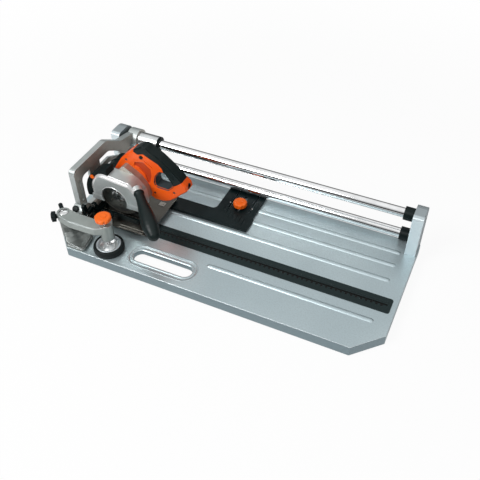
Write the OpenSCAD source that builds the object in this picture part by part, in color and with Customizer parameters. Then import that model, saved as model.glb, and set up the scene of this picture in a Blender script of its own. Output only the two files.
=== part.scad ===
// Rail-guided tile cutter: a pressed table, two steel rails, a gantry carriage
// with a small plunging saw, a rip fence and a swing-arm clamp.
// X runs along the rails, Y to the back, Z up. The origin is the middle of the
// footprint, on the ground.

/* [Table] */
// Length of the table along the rails
table_w = 860; // [820:10:960]
// Depth of the pressed top
table_d = 372; // [366:2:400]
// Height of the working surface above the ground
table_h = 30; // [28:1:36]
// Length cut off each front corner, along both edges
corner_cut = 62; // [40:1:64]
// Thickness of the pressed sheet
sheet_t = 2.5; // [1.5:0.1:3]
// Width of the flange folded inwards under the skirt
flange_w = 18; // [14:1:24]
// Width of a stiffening bead
bead_w = 12; // [8:1:14]
// Height of a stiffening bead above the surface
bead_h = 2.5; // [1.5:0.1:3]
// Diameter of a rubber foot
foot_d = 15; // [10:1:16]
// How far a rubber foot stands out under the flange
foot_h = 2; // [1.5:0.5:4]
// Length of the pressed field round the carry slot
field_l = 180; // [170:1:200]
// Width of the pressed field round the carry slot
field_w = 66; // [60:1:68]
// Depth of the pressed field
field_sink = 1.5; // [0.8:0.1:1.8]
// Depth of the rolled edge round the carry slot, below the surface
slot_rim = 13; // [8:1:18]
// Length of the carry slot
slot_l = 160; // [120:1:164]
// Width of the carry slot
slot_w = 38; // [30:1:44]

/* [Cutting line] */
// Distance of the blade plane from the front edge of the table
blade_setback = 147; // [144:1:150]
// Length of the plastic kerf insert
insert_l = 813; // [700:1:818]
// Width of the kerf insert
insert_w = 45; // [40:1:48]
// Width of the slot that the blade runs in
kerf_w = 5; // [4:0.5:8]
// Spacing of the notches along the slot
notch_pitch = 12; // [8:1:20]
// Height of the insert above the table
insert_proud = 1; // [0.5:0.1:1.5]

/* [Rails] */
// Diameter of both rails
rail_d = 25; // [20:0.5:27]
// Wall of the rail tubes
rail_wall = 3; // [2:0.5:5]
// Height of the upper rail's axis
rail_hi = 116; // [110:1:124]
// Height of the lower rail's axis
rail_lo = 50; // [49:1:54]
// Thickness of an end bracket along the rails
bracket_t = 26; // [22:1:30]
// Depth of an end bracket from front to back
bracket_d = 67.5; // [64:0.5:74]
// Height of an end bracket's top
bracket_top = 152; // [146:1:160]
// How far the brackets stand past the back edge of the table
rear_overhang = 18; // [16:1:24]
// Distance from the side edge of the table to the bracket
bracket_inset = 3; // [1:0.5:6]
// Length of the buffer at the right end
buffer_l = 26; // [15:1:40]
// Outer diameter of a buffer
buffer_d = 34; // [30:1:38]

/* [Carriage] */
// Thickness of the gantry casting along the rails
gantry_t = 16; // [14:1:18]
// Height of the gantry's top edge
gantry_top = 192; // [188:1:200]
// Depth of the gantry's rim
rim_w = 33; // [28:1:34]
// Thickness of the gantry's web
web_t = 7; // [5:0.5:10]
// Length of the sleeve that slides on the upper rail
sleeve_l = 89; // [80:1:120]
// Outer diameter of the sleeve
sleeve_d = 42; // [38:1:43]
// Running clearance on the radius of shafts and bushings
run_gap = 0.05; // [0.02:0.01:0.1]
// Gap between neighbouring moving pieces
gap = 0.4; // [0.3:0.1:0.6]
// Radius of the roller under the gantry's foot
roller_r = 9.7; // [8:0.1:10]
// Length of the saw's sole plate
sole_l = 173; // [170:1:190]
// Thickness of the sole plate
sole_t = 2.5; // [2:0.1:3]
// Space for the workpiece between the table and the sole plate
work_gap = 12; // [11:0.5:14]

/* [Saw] */
// Radius of the cutting disc
blade_r = 60; // [54:0.5:61]
// Thickness of the cutting disc
blade_t = 2; // [1.6:0.1:2.6]
// Height of the arbor above the ground when the saw is up
arbor_z = 114; // [113:1:117]
// Width of the upper guard across the blade
guard_w = 40; // [38:1:42]
// Wall of the upper guard
guard_wall = 3.5; // [2.5:0.1:4]
// Radius of the window in the guard's cover
window_r = 36; // [30:1:38]
// Radius of the disc flanges
flange_r = 19; // [16:0.5:21]
// Width of the handle housing
body_w = 32; // [28:1:36]
// Radius of the motor drum
motor_r = 36; // [32:1:37]
// Length of the front handle
aux_l = 143; // [120:1:146]
// Radius of the front handle at its widest
aux_r = 20; // [16:0.5:20.5]

/* [Fence] */
// Length of the rip bar
bar_l = 315; // [260:1:320]
// Width of the rip bar
bar_w = 46; // [36:1:47]
// Width of the slotted head plate
head_w = 104; // [96:1:120]
// Thickness of the fence plate
fence_t = 4; // [3:0.5:4]
// Radius of the fence knob
fence_knob_r = 18; // [15:0.5:20]

/* [Clamp] */
// Distance from the swing pivot to the clamp screw
arm_l = 118; // [112:1:124]
// Width of the clamp arm
arm_w = 34; // [30:1:36]
// Height of the arm's top face
arm_top = 110; // [106:1:114]
// Thickness of the arm
arm_t = 20; // [16:1:22]
// Radius of the pressure pad
pad_r = 38.5; // [34:0.5:38.5]
// Height of the pressure pad
pad_h = 18; // [15:0.5:18]
// Radius of the clamp knob
clamp_knob_r = 20; // [16:0.5:21]
// Radius of the clamp screw
clamp_screw_r = 5; // [4:0.5:6]

/* [Hidden] */
$fn = 48;
eps = 0.01;
seat = 0.02;
left = -table_w / 2;
right = table_w / 2;
front = -(table_d + rear_overhang) / 2;
back = front + table_d;
blade_y = front + blade_setback;
rail_y = back - 1.5;
bracket_in = right - bracket_inset - bracket_t;
bracket_y = back + rear_overhang - bracket_d;

// ---- helpers -------------------------------------------------------------

// A profile drawn in (x, z), swept from y0 to y1
module side(y0, y1) {
    translate([0, y1, 0]) rotate([90, 0, 0]) linear_extrude(y1 - y0) children();
}
// A profile drawn in (y, z), swept from x0 to x1
module across(x0, x1) {
    translate([x0, 0, 0]) rotate([90, 0, 90]) linear_extrude(x1 - x0) children();
}
module rod_x(x0, x1, y, z, r) {
    translate([x0, y, z]) rotate([0, 90, 0]) cylinder(h = x1 - x0, r = r);
}
module rod_y(y0, y1, x, z, r) {
    translate([x, y0, z]) rotate([-90, 0, 0]) cylinder(h = y1 - y0, r = r);
}
module rod_z(z0, z1, x, y, r) {
    translate([x, y, z0]) cylinder(h = z1 - z0, r = r);
}
module block(x0, x1, y0, y1, z0, z1) {
    translate([x0, y0, z0]) cube([x1 - x0, y1 - y0, z1 - z0]);
}
module round_rect(l, w, r) {
    square([l - 2 * r, w], center = true);
    square([l, w - 2 * r], center = true);
    for (sx = [-1, 1], sy = [-1, 1])
        translate([sx * (l / 2 - r), sy * (w / 2 - r)]) circle(r = r);
}
module stadium(l, w) {
    square([l - w, w], center = true);
    for (s = [-1, 1]) translate([s * (l - w) / 2, 0]) circle(r = w / 2);
}
function unit(v) = v / norm(v);
// The arc that rounds corner b between a and c with radius r
function corner_arc(a, b, c, r, n) =
    let (u = unit(a - b), w = unit(c - b), h = acos(u * w) / 2,
         m = b + unit(u + w) * r / sin(h), p = b + u * r / tan(h) - m,
         q = b + w * r / tan(h) - m, s = atan2(p.y, p.x), e = atan2(q.y, q.x),
         t = e - s > 180 ? e - s - 360 : e - s < -180 ? e - s + 360 : e - s)
    [for (i = [0:n]) m + r * [cos(s + t * i / n), sin(s + t * i / n)]];
// An outline whose points carry their own corner radius as [x, y, r]
function rounded(p, n = 6) =
    [for (i = [0:len(p) - 1])
        let (k = len(p), b = p[i], a = p[(i + k - 1) % k], c = p[(i + 1) % k])
        each (b[2] > 0
            ? corner_arc([a.x, a.y], [b.x, b.y], [c.x, c.y], b[2], n)
            : [[b.x, b.y]])];
module outline(p, n = 6) {
    polygon(rounded(p, n));
}
// A hand knob: a scalloped disc with a domed top on a hub, standing on z = 0
module scalloped_knob(r, h, lobes, hub_r, hub_h, bore_r) {
    bite_r = 0.3 * r;
    bite = 0.09 * r;
    difference() {
        union() {
            translate([0, 0, hub_h]) cylinder(h = 1.5, r1 = r - 1.5, r2 = r);
            translate([0, 0, hub_h + 1.5]) cylinder(h = h - hub_h - 4, r = r);
            translate([0, 0, h - 2.5]) cylinder(h = 1.5, r1 = r, r2 = r - 1.5);
            translate([0, 0, h - 1]) cylinder(h = 1, r1 = r - 1.5, r2 = r - 4);
            cylinder(h = hub_h, r = hub_r);
        }
        for (i = [0:lobes - 1]) rotate(i * 360 / lobes)
            translate([r + bite_r - bite, 0, hub_h - eps]) cylinder(h = h, r = bite_r);
        translate([0, 0, -eps]) cylinder(h = h - 4, r = bore_r);
    }
}

// ---- table ---------------------------------------------------------------

function table_outline(inset) =
    let (c = corner_cut + inset * (sqrt(2) - 2) , l = left + inset, r = right - inset,
         f = front + inset, b = back - inset)
    [[l + c, f, 3], [r - c, f, 3], [r, f + c, 3], [r, b, 6], [l, b, 6], [l, f + c, 3]];
bead_r = ((bead_w / 2) * (bead_w / 2) + bead_h * bead_h) / (2 * bead_h);
rear_beads = [27, 79, 125];
bead_x0 = left + 40;
bead_x1 = right - 37;
front_bead_y = front + 90;
front_bead_x0 = -20;
field_x = left + 308;
field_y = front + 51.5;
insert_x1 = right - 12;
insert_x0 = insert_x1 - insert_l;
insert_y = blade_y - 1.5;
insert_lip = 4;
module bead(x0, x1, y, z_top, grow) {
    r = bead_r + grow;
    e = bead_w / 2;
    translate([0, y, z_top + bead_h - bead_r]) {
        rod_x(x0 + e, x1 - e, 0, 0, r);
        for (x = [x0 + e, x1 - e]) translate([x, 0, 0]) sphere(r = r);
    }
}
module all_beads(grow) {
    for (y = rear_beads) bead(bead_x0, bead_x1, y, table_h, grow);
    bead(front_bead_x0, bead_x1, front_bead_y, table_h, grow);
}
module table_top() color([0.67, 0.71, 0.73]) {
    floor_z = table_h - sheet_t;
    difference() {
        union() {
            translate([0, 0, floor_z]) linear_extrude(sheet_t) outline(table_outline(0));
            translate([0, 0, foot_h]) linear_extrude(floor_z - foot_h + eps) difference() {
                outline(table_outline(0));
                outline(table_outline(sheet_t));
            }
            translate([0, 0, foot_h]) linear_extrude(sheet_t) difference() {
                outline(table_outline(sheet_t - eps));
                outline(table_outline(flange_w));
            }
            intersection() {
                all_beads(0);
                block(left, right, front, back, table_h - eps, table_h + bead_h + 1);
            }
            translate([field_x, field_y, floor_z - field_sink])
                linear_extrude(sheet_t) stadium(field_l + 2 * sheet_t, field_w + 2 * sheet_t);
            translate([field_x, field_y, table_h - slot_rim])
                linear_extrude(slot_rim - field_sink - eps)
                stadium(slot_l + 2 * sheet_t, slot_w + 2 * sheet_t);
        }
        intersection() {
            all_beads(-sheet_t);
            block(left, right, front, back, 0, table_h + bead_h + 1);
        }
        translate([field_x, field_y, table_h - field_sink])
            linear_extrude(sheet_t) stadium(field_l, field_w);
        translate([field_x, field_y, 0]) linear_extrude(table_h) stadium(slot_l, slot_w);
        translate([(insert_x0 + insert_x1) / 2, insert_y, floor_z - 1])
            linear_extrude(sheet_t + 2)
            round_rect(insert_l - 2 * insert_lip, insert_w - 2 * insert_lip, 4);
        rod_z(floor_z - 1, table_h + 1, stud_x, stud_y, stud_r + seat);
        for (p = clamp_bolts) rod_z(floor_z - 1, table_h + 1, p.x, p.y, 3);
        for (p = feet_at) rod_z(foot_h - 1, foot_h + sheet_t + 1, p.x, p.y, 3);
    }
}
feet_at = [
    for (x = [left + 100, right - 100]) [x, front + sheet_t + 8],
    for (x = [left + 60, right - 60]) [x, back - sheet_t - 8]
];
module rubber_feet() color([0.09, 0.1, 0.1]) {
    for (p = feet_at) translate([p.x, p.y, 0]) {
        cylinder(h = foot_h, r1 = foot_d / 2 - 0.5, r2 = foot_d / 2);
        cylinder(h = foot_h + sheet_t, r = 3);
        translate([0, 0, foot_h + sheet_t]) cylinder(h = 2, r = 4.5);
    }
}
// The insert is a channel with a lip on the table and a notched blade slot
module kerf_insert() color([0.07, 0.08, 0.08]) {
    mid = (insert_x0 + insert_x1) / 2;
    body_z = table_h - 9;
    slot_x0 = insert_x0 + 14;
    slot_x1 = insert_x1 - 9;
    notches = floor((slot_x1 - slot_x0 - 6) / notch_pitch);
    difference() {
        union() {
            translate([mid, insert_y, table_h])
                linear_extrude(insert_proud) round_rect(insert_l, insert_w, 6);
            translate([mid, insert_y, body_z]) linear_extrude(table_h - body_z + eps)
                round_rect(insert_l - 2 * insert_lip - 0.6, insert_w - 2 * insert_lip - 0.6, 4);
        }
        block(slot_x0, slot_x1, blade_y - kerf_w / 2, blade_y + kerf_w / 2,
              body_z - 1, table_h + insert_proud + 1);
        translate([0, 0, table_h - 2.5]) linear_extrude(insert_proud + 3)
            for (i = [0:notches - 1])
                translate([slot_x0 + 6 + i * notch_pitch, blade_y - kerf_w / 2 - 5])
                    square([notch_pitch / 2, 5 + eps]);
        block(insert_x0 + 8, insert_x1 - 8, blade_y + kerf_w / 2 + 4, blade_y + kerf_w / 2 + 6,
              table_h + insert_proud - 0.6, table_h + insert_proud + 1);
        block(insert_x0 + 12, insert_x1 - 12, insert_y - insert_w / 2 + 9,
              blade_y - kerf_w / 2 - 7, body_z - 1, table_h - 3);
        block(insert_x0 + 12, insert_x1 - 12, blade_y + kerf_w / 2 + 2,
              insert_y + insert_w / 2 - 9, body_z - 1, table_h - 3);
    }
}

// ---- rails and end brackets ----------------------------------------------

rail_in = 16;
bore_wall = 4;
screw_head_h = bracket_t - rail_in - bore_wall;
rail_x1 = bracket_in + rail_in;
module end_bracket() {
    lip_y = back + 0.3;
    lip_z = table_h - 20;
    difference() {
        across(bracket_in, bracket_in + bracket_t) outline([
            [bracket_y, table_h, 0], [bracket_y, bracket_top - 5, 6],
            [bracket_y + 9, bracket_top, 5], [back + rear_overhang, bracket_top, 30],
            [back + rear_overhang, lip_z, 3], [lip_y, lip_z, 0], [lip_y, table_h, 0]]);
        for (z = [rail_lo, rail_hi]) {
            rod_x(bracket_in - 1, rail_x1, rail_y, z, rail_d / 2 + seat);
            rod_x(bracket_in, bracket_in + bracket_t, rail_y, z, 4.2);
            rod_x(bracket_in + bracket_t - screw_head_h, bracket_in + bracket_t + 1, rail_y, z, 7);
        }
        // lightening pocket in the outer face
        across(bracket_in + bracket_t - 5, bracket_in + bracket_t + 1) outline([
            [bracket_y + 8, table_h + 8, 3], [bracket_y + 8, bracket_top - 14, 5],
            [rail_y - 26, bracket_top - 10, 5], [rail_y - 26, table_h + 8, 3]]);
    }
}
module right_bracket() color([0.78, 0.82, 0.85]) end_bracket();
module left_bracket() color([0.72, 0.76, 0.78]) mirror([1, 0, 0]) end_bracket();
module rail(z) {
    plug = 22;
    difference() {
        rod_x(-rail_x1, rail_x1, rail_y, z, rail_d / 2);
        rod_x(-rail_x1 + plug, rail_x1 - plug, rail_y, z, rail_d / 2 - rail_wall);
        for (s = [-1, 1]) translate([s * (rail_x1 - 9.5), rail_y, z])
            rotate([0, 90, 0]) cylinder(h = 21, r = 4 + seat, center = true);
    }
}
module upper_rail() color([0.92, 0.93, 0.94]) rail(rail_hi);
module lower_rail() color([0.92, 0.93, 0.94]) rail(rail_lo);
left_buffer_l = 5.4;
module buffer(x0, x1, z) {
    difference() {
        rod_x(x0, x1, rail_y, z, buffer_d / 2);
        rod_x(x0 - 1, x1 + 1, rail_y, z, rail_d / 2 + seat);
    }
}
module rail_buffers() color([0.08, 0.1, 0.1]) {
    for (z = [rail_lo, rail_hi]) {
        buffer(bracket_in - buffer_l, bracket_in, z);
        buffer(-bracket_in, -bracket_in + left_buffer_l, z);
    }
}
module bracket_screws() color([0.35, 0.37, 0.38]) {
    for (m = [0, 1], z = [rail_lo, rail_hi]) mirror([m, 0, 0]) {
        x = bracket_in + bracket_t - screw_head_h;
        difference() {
            union() {
                rod_x(x, x + screw_head_h - 0.2, rail_y, z, 6.5);
                rod_x(rail_x1 - 16, x, rail_y, z, 4);
            }
            translate([x + screw_head_h - 4, rail_y, z]) rotate([0, 90, 0])
                cylinder(h = 6, r = 3.4, $fn = 6);
        }
    }
}

// ---- swing clamp ---------------------------------------------------------

pivot_x = left + 45.5;
pivot_y = front + 38;
clamp_x = pivot_x + arm_l;
clamp_y = pivot_y + 2;
arm_z0 = arm_top - arm_t;
post_r = 15;
pivot_r = 8;
plinth_h = 10;
flare_h = 44;
plinth_edge = 5;
clamp_bolts = [[left + 62, front + 14], [left + 84, front + 44]];
function plinth(i) =
    let (l = left + plinth_edge + i, f = front + 1.5 + i, c = corner_cut - 0.6 * i)
    [[l, front + 84 - i, 8], [l, f + c - 3, 2], [l + c - 3, f, 2], [l + c + 48 - 2 * i, f, 9],
     [l + c + 39 - 2 * i, front + 56, 18], [l + 52, front + 84 - i, 8]];
module clamp_base() color([0.6, 0.64, 0.65]) {
    difference() {
        union() {
            translate([0, 0, table_h]) linear_extrude(plinth_h - 2) outline(plinth(0));
            translate([0, 0, table_h]) linear_extrude(plinth_h) outline(plinth(2));
            rod_z(table_h + plinth_h - 1, arm_z0 - gap, pivot_x, pivot_y, post_r);
            // the post flares out until the edge of the plinth cuts it off
            intersection() {
                translate([pivot_x, pivot_y, table_h]) rotate_extrude() polygon([
                    [0, plinth_h - 1], [68, plinth_h - 1], [68, plinth_h],
                    for (a = [15:15:90])
                        [post_r + 53 * (1 - sin(a)), plinth_h + flare_h * (1 - cos(a))],
                    [0, plinth_h + flare_h]]);
                translate([0, 0, table_h]) linear_extrude(plinth_h + flare_h + 1)
                    outline(plinth(2));
            }
        }
        rod_z(table_h - 1, arm_z0, pivot_x, pivot_y, pivot_r + seat);
        for (p = clamp_bolts) rod_z(table_h - 1, table_h + 6, p.x, p.y, 3);
    }
}
// The bolt that the arm swings on, with a domed and slotted head
module pivot_bolt() color([0.75, 0.77, 0.78]) {
    head_z = arm_top + gap;
    difference() {
        union() {
            rod_z(table_h, head_z + 0.5, pivot_x, pivot_y, pivot_r);
            translate([pivot_x, pivot_y, head_z]) intersection() {
                cylinder(h = 4, r = 12);
                translate([0, 0, -18.5]) sphere(r = 22.5);
            }
        }
        block(pivot_x - 8, pivot_x + 8, pivot_y - 1, pivot_y + 1, head_z + 2, head_z + 5);
    }
}
arm_boss_r = 17;
end_boss_r = 13.5;
nose_r = 12.5;
end_boss_z0 = table_h + 35;
end_boss_top = arm_top + 1;
stud_tip = pivot_r + 4.7;
star_dir = 216;
grip_dir = 139;
star_z = arm_top - arm_t / 2;
module at_pivot(a) {
    translate([pivot_x, pivot_y, star_z]) rotate([0, 0, a]) rotate([0, 90, 0]) children();
}
function arm_shape(i) =
    let (h = arm_w / 2 - i, x0 = pivot_x, y0 = pivot_y, x1 = clamp_x, y1 = clamp_y)
    [[x0 - 8, y0 - 15.5 + i, 4], [x0 + 0.25 * arm_l, y1 - h - 9, 16],
     [x1 - 18, y1 - h - 7, 8], [x1 + 3 - i, y1 - end_boss_r + 0.5 + i, 3],
     [x1 + 3 - i, y1 + end_boss_r - 0.5 - i, 3], [x1 - 20, y1 + h - 7, 8],
     [x0 + 0.30 * arm_l, y1 + h - 7, 20], [x0 + 2, y0 + 16.5 - i, 4]];
// The arm is a cranked bar: it leaves the pivot boss, bends, and runs to the screw boss
module clamp_arm() color([0.63, 0.67, 0.66]) {
    h = arm_w / 2;
    x0 = pivot_x;
    x1 = clamp_x;
    y1 = clamp_y;
    difference() {
        union() {
            translate([0, 0, arm_z0]) linear_extrude(arm_t - 1.5) outline(arm_shape(0));
            translate([0, 0, arm_z0 + 1]) linear_extrude(arm_t - 1) outline(arm_shape(1.5));
            rod_z(arm_z0, arm_top, x0, pivot_y, arm_boss_r);
            rod_z(end_boss_z0 + 1.5, end_boss_top, x1, y1, end_boss_r);
            translate([x1, y1, end_boss_z0]) cylinder(h = 1.5, r1 = end_boss_r - 2, r2 = end_boss_r);
            // rounded nose beyond the screw
            rod_z(end_boss_z0 + 1.5, arm_top + 2.5, x1 + 5, y1 + 4, nose_r);
        }
        rod_z(arm_z0 - 1, arm_top + 1, x0, pivot_y, pivot_r + run_gap);
        rod_z(end_boss_z0 - 1, arm_top + 4, x1, y1, clamp_screw_r + run_gap);
        // pocket under the arm, open below
        translate([0, 0, arm_z0 - 1]) linear_extrude(arm_t - 4) outline([
            [x0 + 26, y1 - h - 2, 4], [x1 - 24, y1 - h, 4],
            [x1 - 24, y1 + h - 13, 4], [x0 + 30, y1 + h - 13, 4]]);
        at_pivot(star_dir) translate([0, 0, pivot_r + 1]) cylinder(h = 20, r = 3 + run_gap);
        at_pivot(grip_dir) translate([0, 0, pivot_r + 1]) cylinder(h = 20, r = 3 + run_gap);
    }
}
// A four-lobed hand screw that locks the swing
module star_knob() color([0.07, 0.08, 0.08]) at_pivot(star_dir) {
    translate([0, 0, stud_tip]) cylinder(h = arm_boss_r + 1.5 - stud_tip, r = 3);
    translate([0, 0, arm_boss_r + gap + 3]) {
        difference() {
            union() {
                for (i = [0:3]) rotate(40 + 90 * i) translate([8.6, 0, 0]) cylinder(h = 10, r = 4.6);
                cylinder(h = 11, r = 9.4);
                translate([0, 0, -3]) cylinder(h = 4, r = 6);
            }
            translate([0, 0, 10]) cylinder(h = 2, r = 4);
        }
    }
}
// A hand screw with a plain cylindrical grip
module lock_grip() color([0.07, 0.08, 0.08]) at_pivot(grip_dir) {
    translate([0, 0, stud_tip]) cylinder(h = arm_boss_r + 1.5 - stud_tip, r = 3);
    translate([0, 0, arm_boss_r + gap]) cylinder(h = 6, r1 = 4, r2 = 5.5);
    translate([0, 0, arm_boss_r + gap + 6]) cylinder(h = 20, r = 5.5);
    translate([0, 0, arm_boss_r + gap + 26]) cylinder(h = 2, r1 = 5.5, r2 = 3.5);
}
pad_z0 = table_h + 0.3;
pad_top = pad_z0 + pad_h;
dish_r = 22;
ring_r = 31;
knob_z0 = arm_top + 15;
clamp_knob_h = 14;
module clamp_screw() color([0.85, 0.86, 0.87]) {
    rod_z(pad_top - 8, knob_z0 + 8, clamp_x, clamp_y, clamp_screw_r);
}
module clamp_knob() color([0.96, 0.41, 0.12]) {
    translate([clamp_x, clamp_y, knob_z0])
        scalloped_knob(clamp_knob_r, clamp_knob_h, 8, 10, 3, clamp_screw_r + seat);
}
// The dish has a hub that holds the foot of the screw
module pad_dish() color([0.9, 0.91, 0.92]) {
    translate([clamp_x, clamp_y, 0]) difference() {
        union() {
            translate([0, 0, pad_z0 + 5]) cylinder(h = 2.5, r = dish_r);
            translate([0, 0, pad_z0 + 7.5]) cylinder(h = pad_h - 7, r1 = 14, r2 = 8);
            difference() {
                translate([0, 0, pad_z0 + 7.5]) cylinder(h = 5, r1 = dish_r, r2 = dish_r);
                translate([0, 0, pad_z0 + 7.5]) cylinder(h = 5 + eps, r1 = dish_r - 7, r2 = dish_r - 1);
            }
        }
        translate([0, 0, pad_top - 8 - gap]) cylinder(h = 12, r = clamp_screw_r + run_gap);
    }
}
module pad_ring() color([0.6, 0.63, 0.63]) {
    translate([clamp_x, clamp_y, 0]) difference() {
        union() {
            translate([0, 0, pad_z0 + 5]) cylinder(h = pad_h - 6.5, r = ring_r);
            translate([0, 0, pad_top - 1.5]) cylinder(h = 1.5, r1 = ring_r, r2 = ring_r - 1.5);
        }
        translate([0, 0, pad_z0 + 4]) cylinder(h = pad_h, r = dish_r + seat);
        translate([0, 0, pad_z0 + 12.5])
            cylinder(h = pad_h - 12.5 + eps, r1 = dish_r, r2 = ring_r - 4);
    }
}
module pad_tyre() color([0.06, 0.07, 0.07]) {
    translate([clamp_x, clamp_y, 0]) difference() {
        rotate_extrude() polygon(rounded([
            [0, pad_z0, 0], [pad_r - 1, pad_z0, 2], [pad_r, pad_z0 + pad_h / 2, 12],
            [pad_r - 1.5, pad_top, 3.5], [ring_r, pad_top, 0], [ring_r, pad_z0 + 5, 0],
            [0, pad_z0 + 5, 0]], 5));
        translate([0, 0, pad_z0 - 1]) cylinder(h = 7, r = 12);
    }
}

// ---- rip fence -----------------------------------------------------------

fence_z = table_h + bead_h + 0.3;
head_x1 = 14;
head_x0 = head_x1 - head_w;
head_y0 = 82;
head_y1 = back + 4;
bar_y0 = head_y0 - bar_w - 2;
bar_x1 = head_x1 + 4;
stud_x = head_x0 + 56;
stud_y = head_y0 + 31;
stud_r = 4;
module fence_plate() color([0.07, 0.09, 0.09]) {
    difference() {
        translate([0, 0, fence_z]) linear_extrude(fence_t) outline([
            [bar_x1 - bar_l, bar_y0, 4], [bar_x1, bar_y0, 3],
            [bar_x1, head_y0 - 2, 4], [head_x1, head_y0 + 8, 4],
            [head_x1, head_y1, 6], [head_x0, head_y1, 6], [head_x0, head_y0 - 1, 12],
            [bar_x1 - bar_l, head_y0 - 1, 8]]);
        // two long slots and one between them for the stud
        for (x = [head_x0 + 30, head_x0 + 86])
            translate([x, (head_y0 + head_y1) / 2 + 4, fence_z - 1])
                linear_extrude(fence_t + 2) stadium_y(72, 4);
        translate([stud_x, stud_y + 12, fence_z - 1])
            linear_extrude(fence_t + 2) stadium_y(62, 2 * stud_r + 1);
    }
    // guide rib along the front edge of the bar
    block(bar_x1 - bar_l + 6, bar_x1 - 30, bar_y0 + 1, bar_y0 + 4, fence_z + fence_t - eps,
          fence_z + fence_t + 1.5);
}
module stadium_y(l, w) {
    rotate(90) stadium(l, w);
}
knob_gap = 0.4;
module fence_stud() color([0.7, 0.72, 0.73]) {
    rod_z(table_h - sheet_t, fence_z + fence_t + 12, stud_x, stud_y, stud_r);
    rod_z(table_h - sheet_t - 4, table_h - sheet_t, stud_x, stud_y, stud_r + 4);
}
module fence_knob() color([0.96, 0.41, 0.12]) {
    difference() {
        translate([stud_x, stud_y, fence_z + fence_t + knob_gap])
            scalloped_knob(fence_knob_r, 18, 8, 11, 5, stud_r + run_gap);
        rod_z(fence_z, fence_z + fence_t + 12.5, stud_x, stud_y, stud_r + run_gap);
    }
}

// ---- gantry carriage -----------------------------------------------------

gx0 = -bracket_in + left_buffer_l + 0.6;
gx1 = gx0 + gantry_t;
leg_y = front + 97;
leg_w = 25;
foot_y = leg_y + 7;
foot_z = table_h + 32;
foot_r = 24;
roller_x = gx0 + 10;
roller_z = table_h + roller_r + 0.3;
roller_w = 14;
pin_r = 3;
sleeve_r = sleeve_d / 2;
boss_r = sleeve_r + 6;
sole_z = table_h + work_gap;
sole_top = sole_z + sole_t;
drop_y = 60;
drop_w = 18;
fork_top = rail_lo + rail_d / 2 + 8;
fork_w = 37.6;
rim_in = gantry_top - rim_w;
module gantry_frame() color([0.62, 0.66, 0.67]) {
    difference() {
        union() {
            // rim: front leg, top beam and the slope down to the sleeve
            across(gx0, gx1) outline([
                [leg_y, foot_z, 0], [leg_y, gantry_top, 12], [44, gantry_top, 26],
                [rail_y - 72, bracket_top + 1, 24], [rail_y - 12, rail_hi + boss_r - 3, 14],
                [rail_y, rail_hi + 8, 0], [rail_y - 22, rail_hi - 2, 0], [rail_y - 72, rail_hi + 6, 22],
                [46, rim_in, 22], [leg_y + leg_w, rim_in, 14], [leg_y + leg_w, foot_z, 0]]);
            // web with a long window under the beam
            across(gx0 + 4, gx0 + 4 + web_t) difference() {
                outline([
                    [-34, rim_in + 6, 0], [48, rim_in + 6, 20], [rail_y - 70, rail_hi + 12, 20],
                    [rail_y - 18, rail_hi, 0], [rail_y - 30, rail_hi - 16, 8],
                    [rail_y - 74, rail_hi - 20, 14], [drop_y - 10, rail_hi + 4, 16],
                    [-34, rail_hi + 4, 10]]);
                outline([
                    [10, rail_hi + 19, 3], [drop_y - 10, rail_hi + 19, 16],
                    [rail_y - 80, rail_hi - 6, 3], [rail_y - 75, rail_hi + 3, 3],
                    [drop_y - 10, rim_in, 20], [12, rim_in, 3]]);
            }
            // bottom bar and drop leg that carry the sole plate
            across(gx0, gx1) outline([
                [leg_y + leg_w - 8, sole_top, 0], [drop_y + drop_w, sole_top, 2],
                [drop_y + drop_w, rail_hi - 2, 6], [drop_y, rail_hi - 2, 6],
                [drop_y, sole_top + 13, 8], [leg_y + leg_w - 8, sole_top + 13, 0]]);
            across(gx0 + 4, gx0 + 4 + web_t)
                outline([[drop_y, rail_hi - 12, 0], [drop_y + drop_w, rail_hi - 12, 0],
                         [drop_y + drop_w, rail_hi + 3, 0], [drop_y, rail_hi + 6, 0]]);
            // rear leg down to the lower rail
            across(gx0, gx1) outline([
                [rail_y - fork_w / 2, fork_top, 2], [rail_y + fork_w / 2, fork_top, 2],
                [rail_y + fork_w / 2, rail_hi, 8], [rail_y - fork_w / 2, rail_hi, 8]]);
            rod_x(gx0, gx0 + 30, rail_y, rail_hi, boss_r);
            // rounded foot round the roller
            rod_x(gx0 - 4, gx1 + 8, foot_y, foot_z, foot_r);
            across(gx0 - 4, gx1 + 8) outline([
                [foot_y - 17, table_h + 6, 6], [foot_y + 17, table_h + 6, 6],
                [foot_y + 17, foot_z + 8, 0], [foot_y - 17, foot_z + 8, 0]]);
        }
        rod_x(gx0 - 1, gx0 + 31, rail_y, rail_hi, sleeve_r + seat);
        block(roller_x - roller_r - 1.2, roller_x + roller_r + 1.2,
              foot_y - roller_w / 2 - 0.6, foot_y + roller_w / 2 + 0.6,
              table_h, roller_z + roller_r + 1.2);
        rod_y(foot_y - 20, foot_y + 20, roller_x, roller_z, pin_r + seat);
        // recess in the outer face of the front leg
        across(gx1 - 4, gx1 + 1) outline([
            [leg_y + 7, foot_z + foot_r + 6, 4], [leg_y + leg_w - 6, foot_z + foot_r + 6, 4],
            [leg_y + leg_w - 6, rim_in - 8, 4], [leg_y + 7, rim_in + 8, 4]]);
        // bore of the park plunger
        at_park() translate([0, 0, -16]) cylinder(h = 30, r = 4 + run_gap);
        for (p = sole_bolt_at) rod_z(sole_top - 1, sole_top + 10, p.x, p.y, 2.5 + seat);
        rod_z(fork_top - 1, fork_top + 12, gx0 + gantry_t / 2, rail_y, 3 + seat);
    }
    // stud of the lock lever
    rod_x(gx1 + 4, gx1 + 8 + gap + 9, lever_y, lever_z, 3.5);
}
sole_bolt_at = [[gx0 + gantry_t / 2, -40], [gx0 + gantry_t / 2, 15],
                [gx0 + gantry_t / 2, drop_y + drop_w / 2]];
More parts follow.
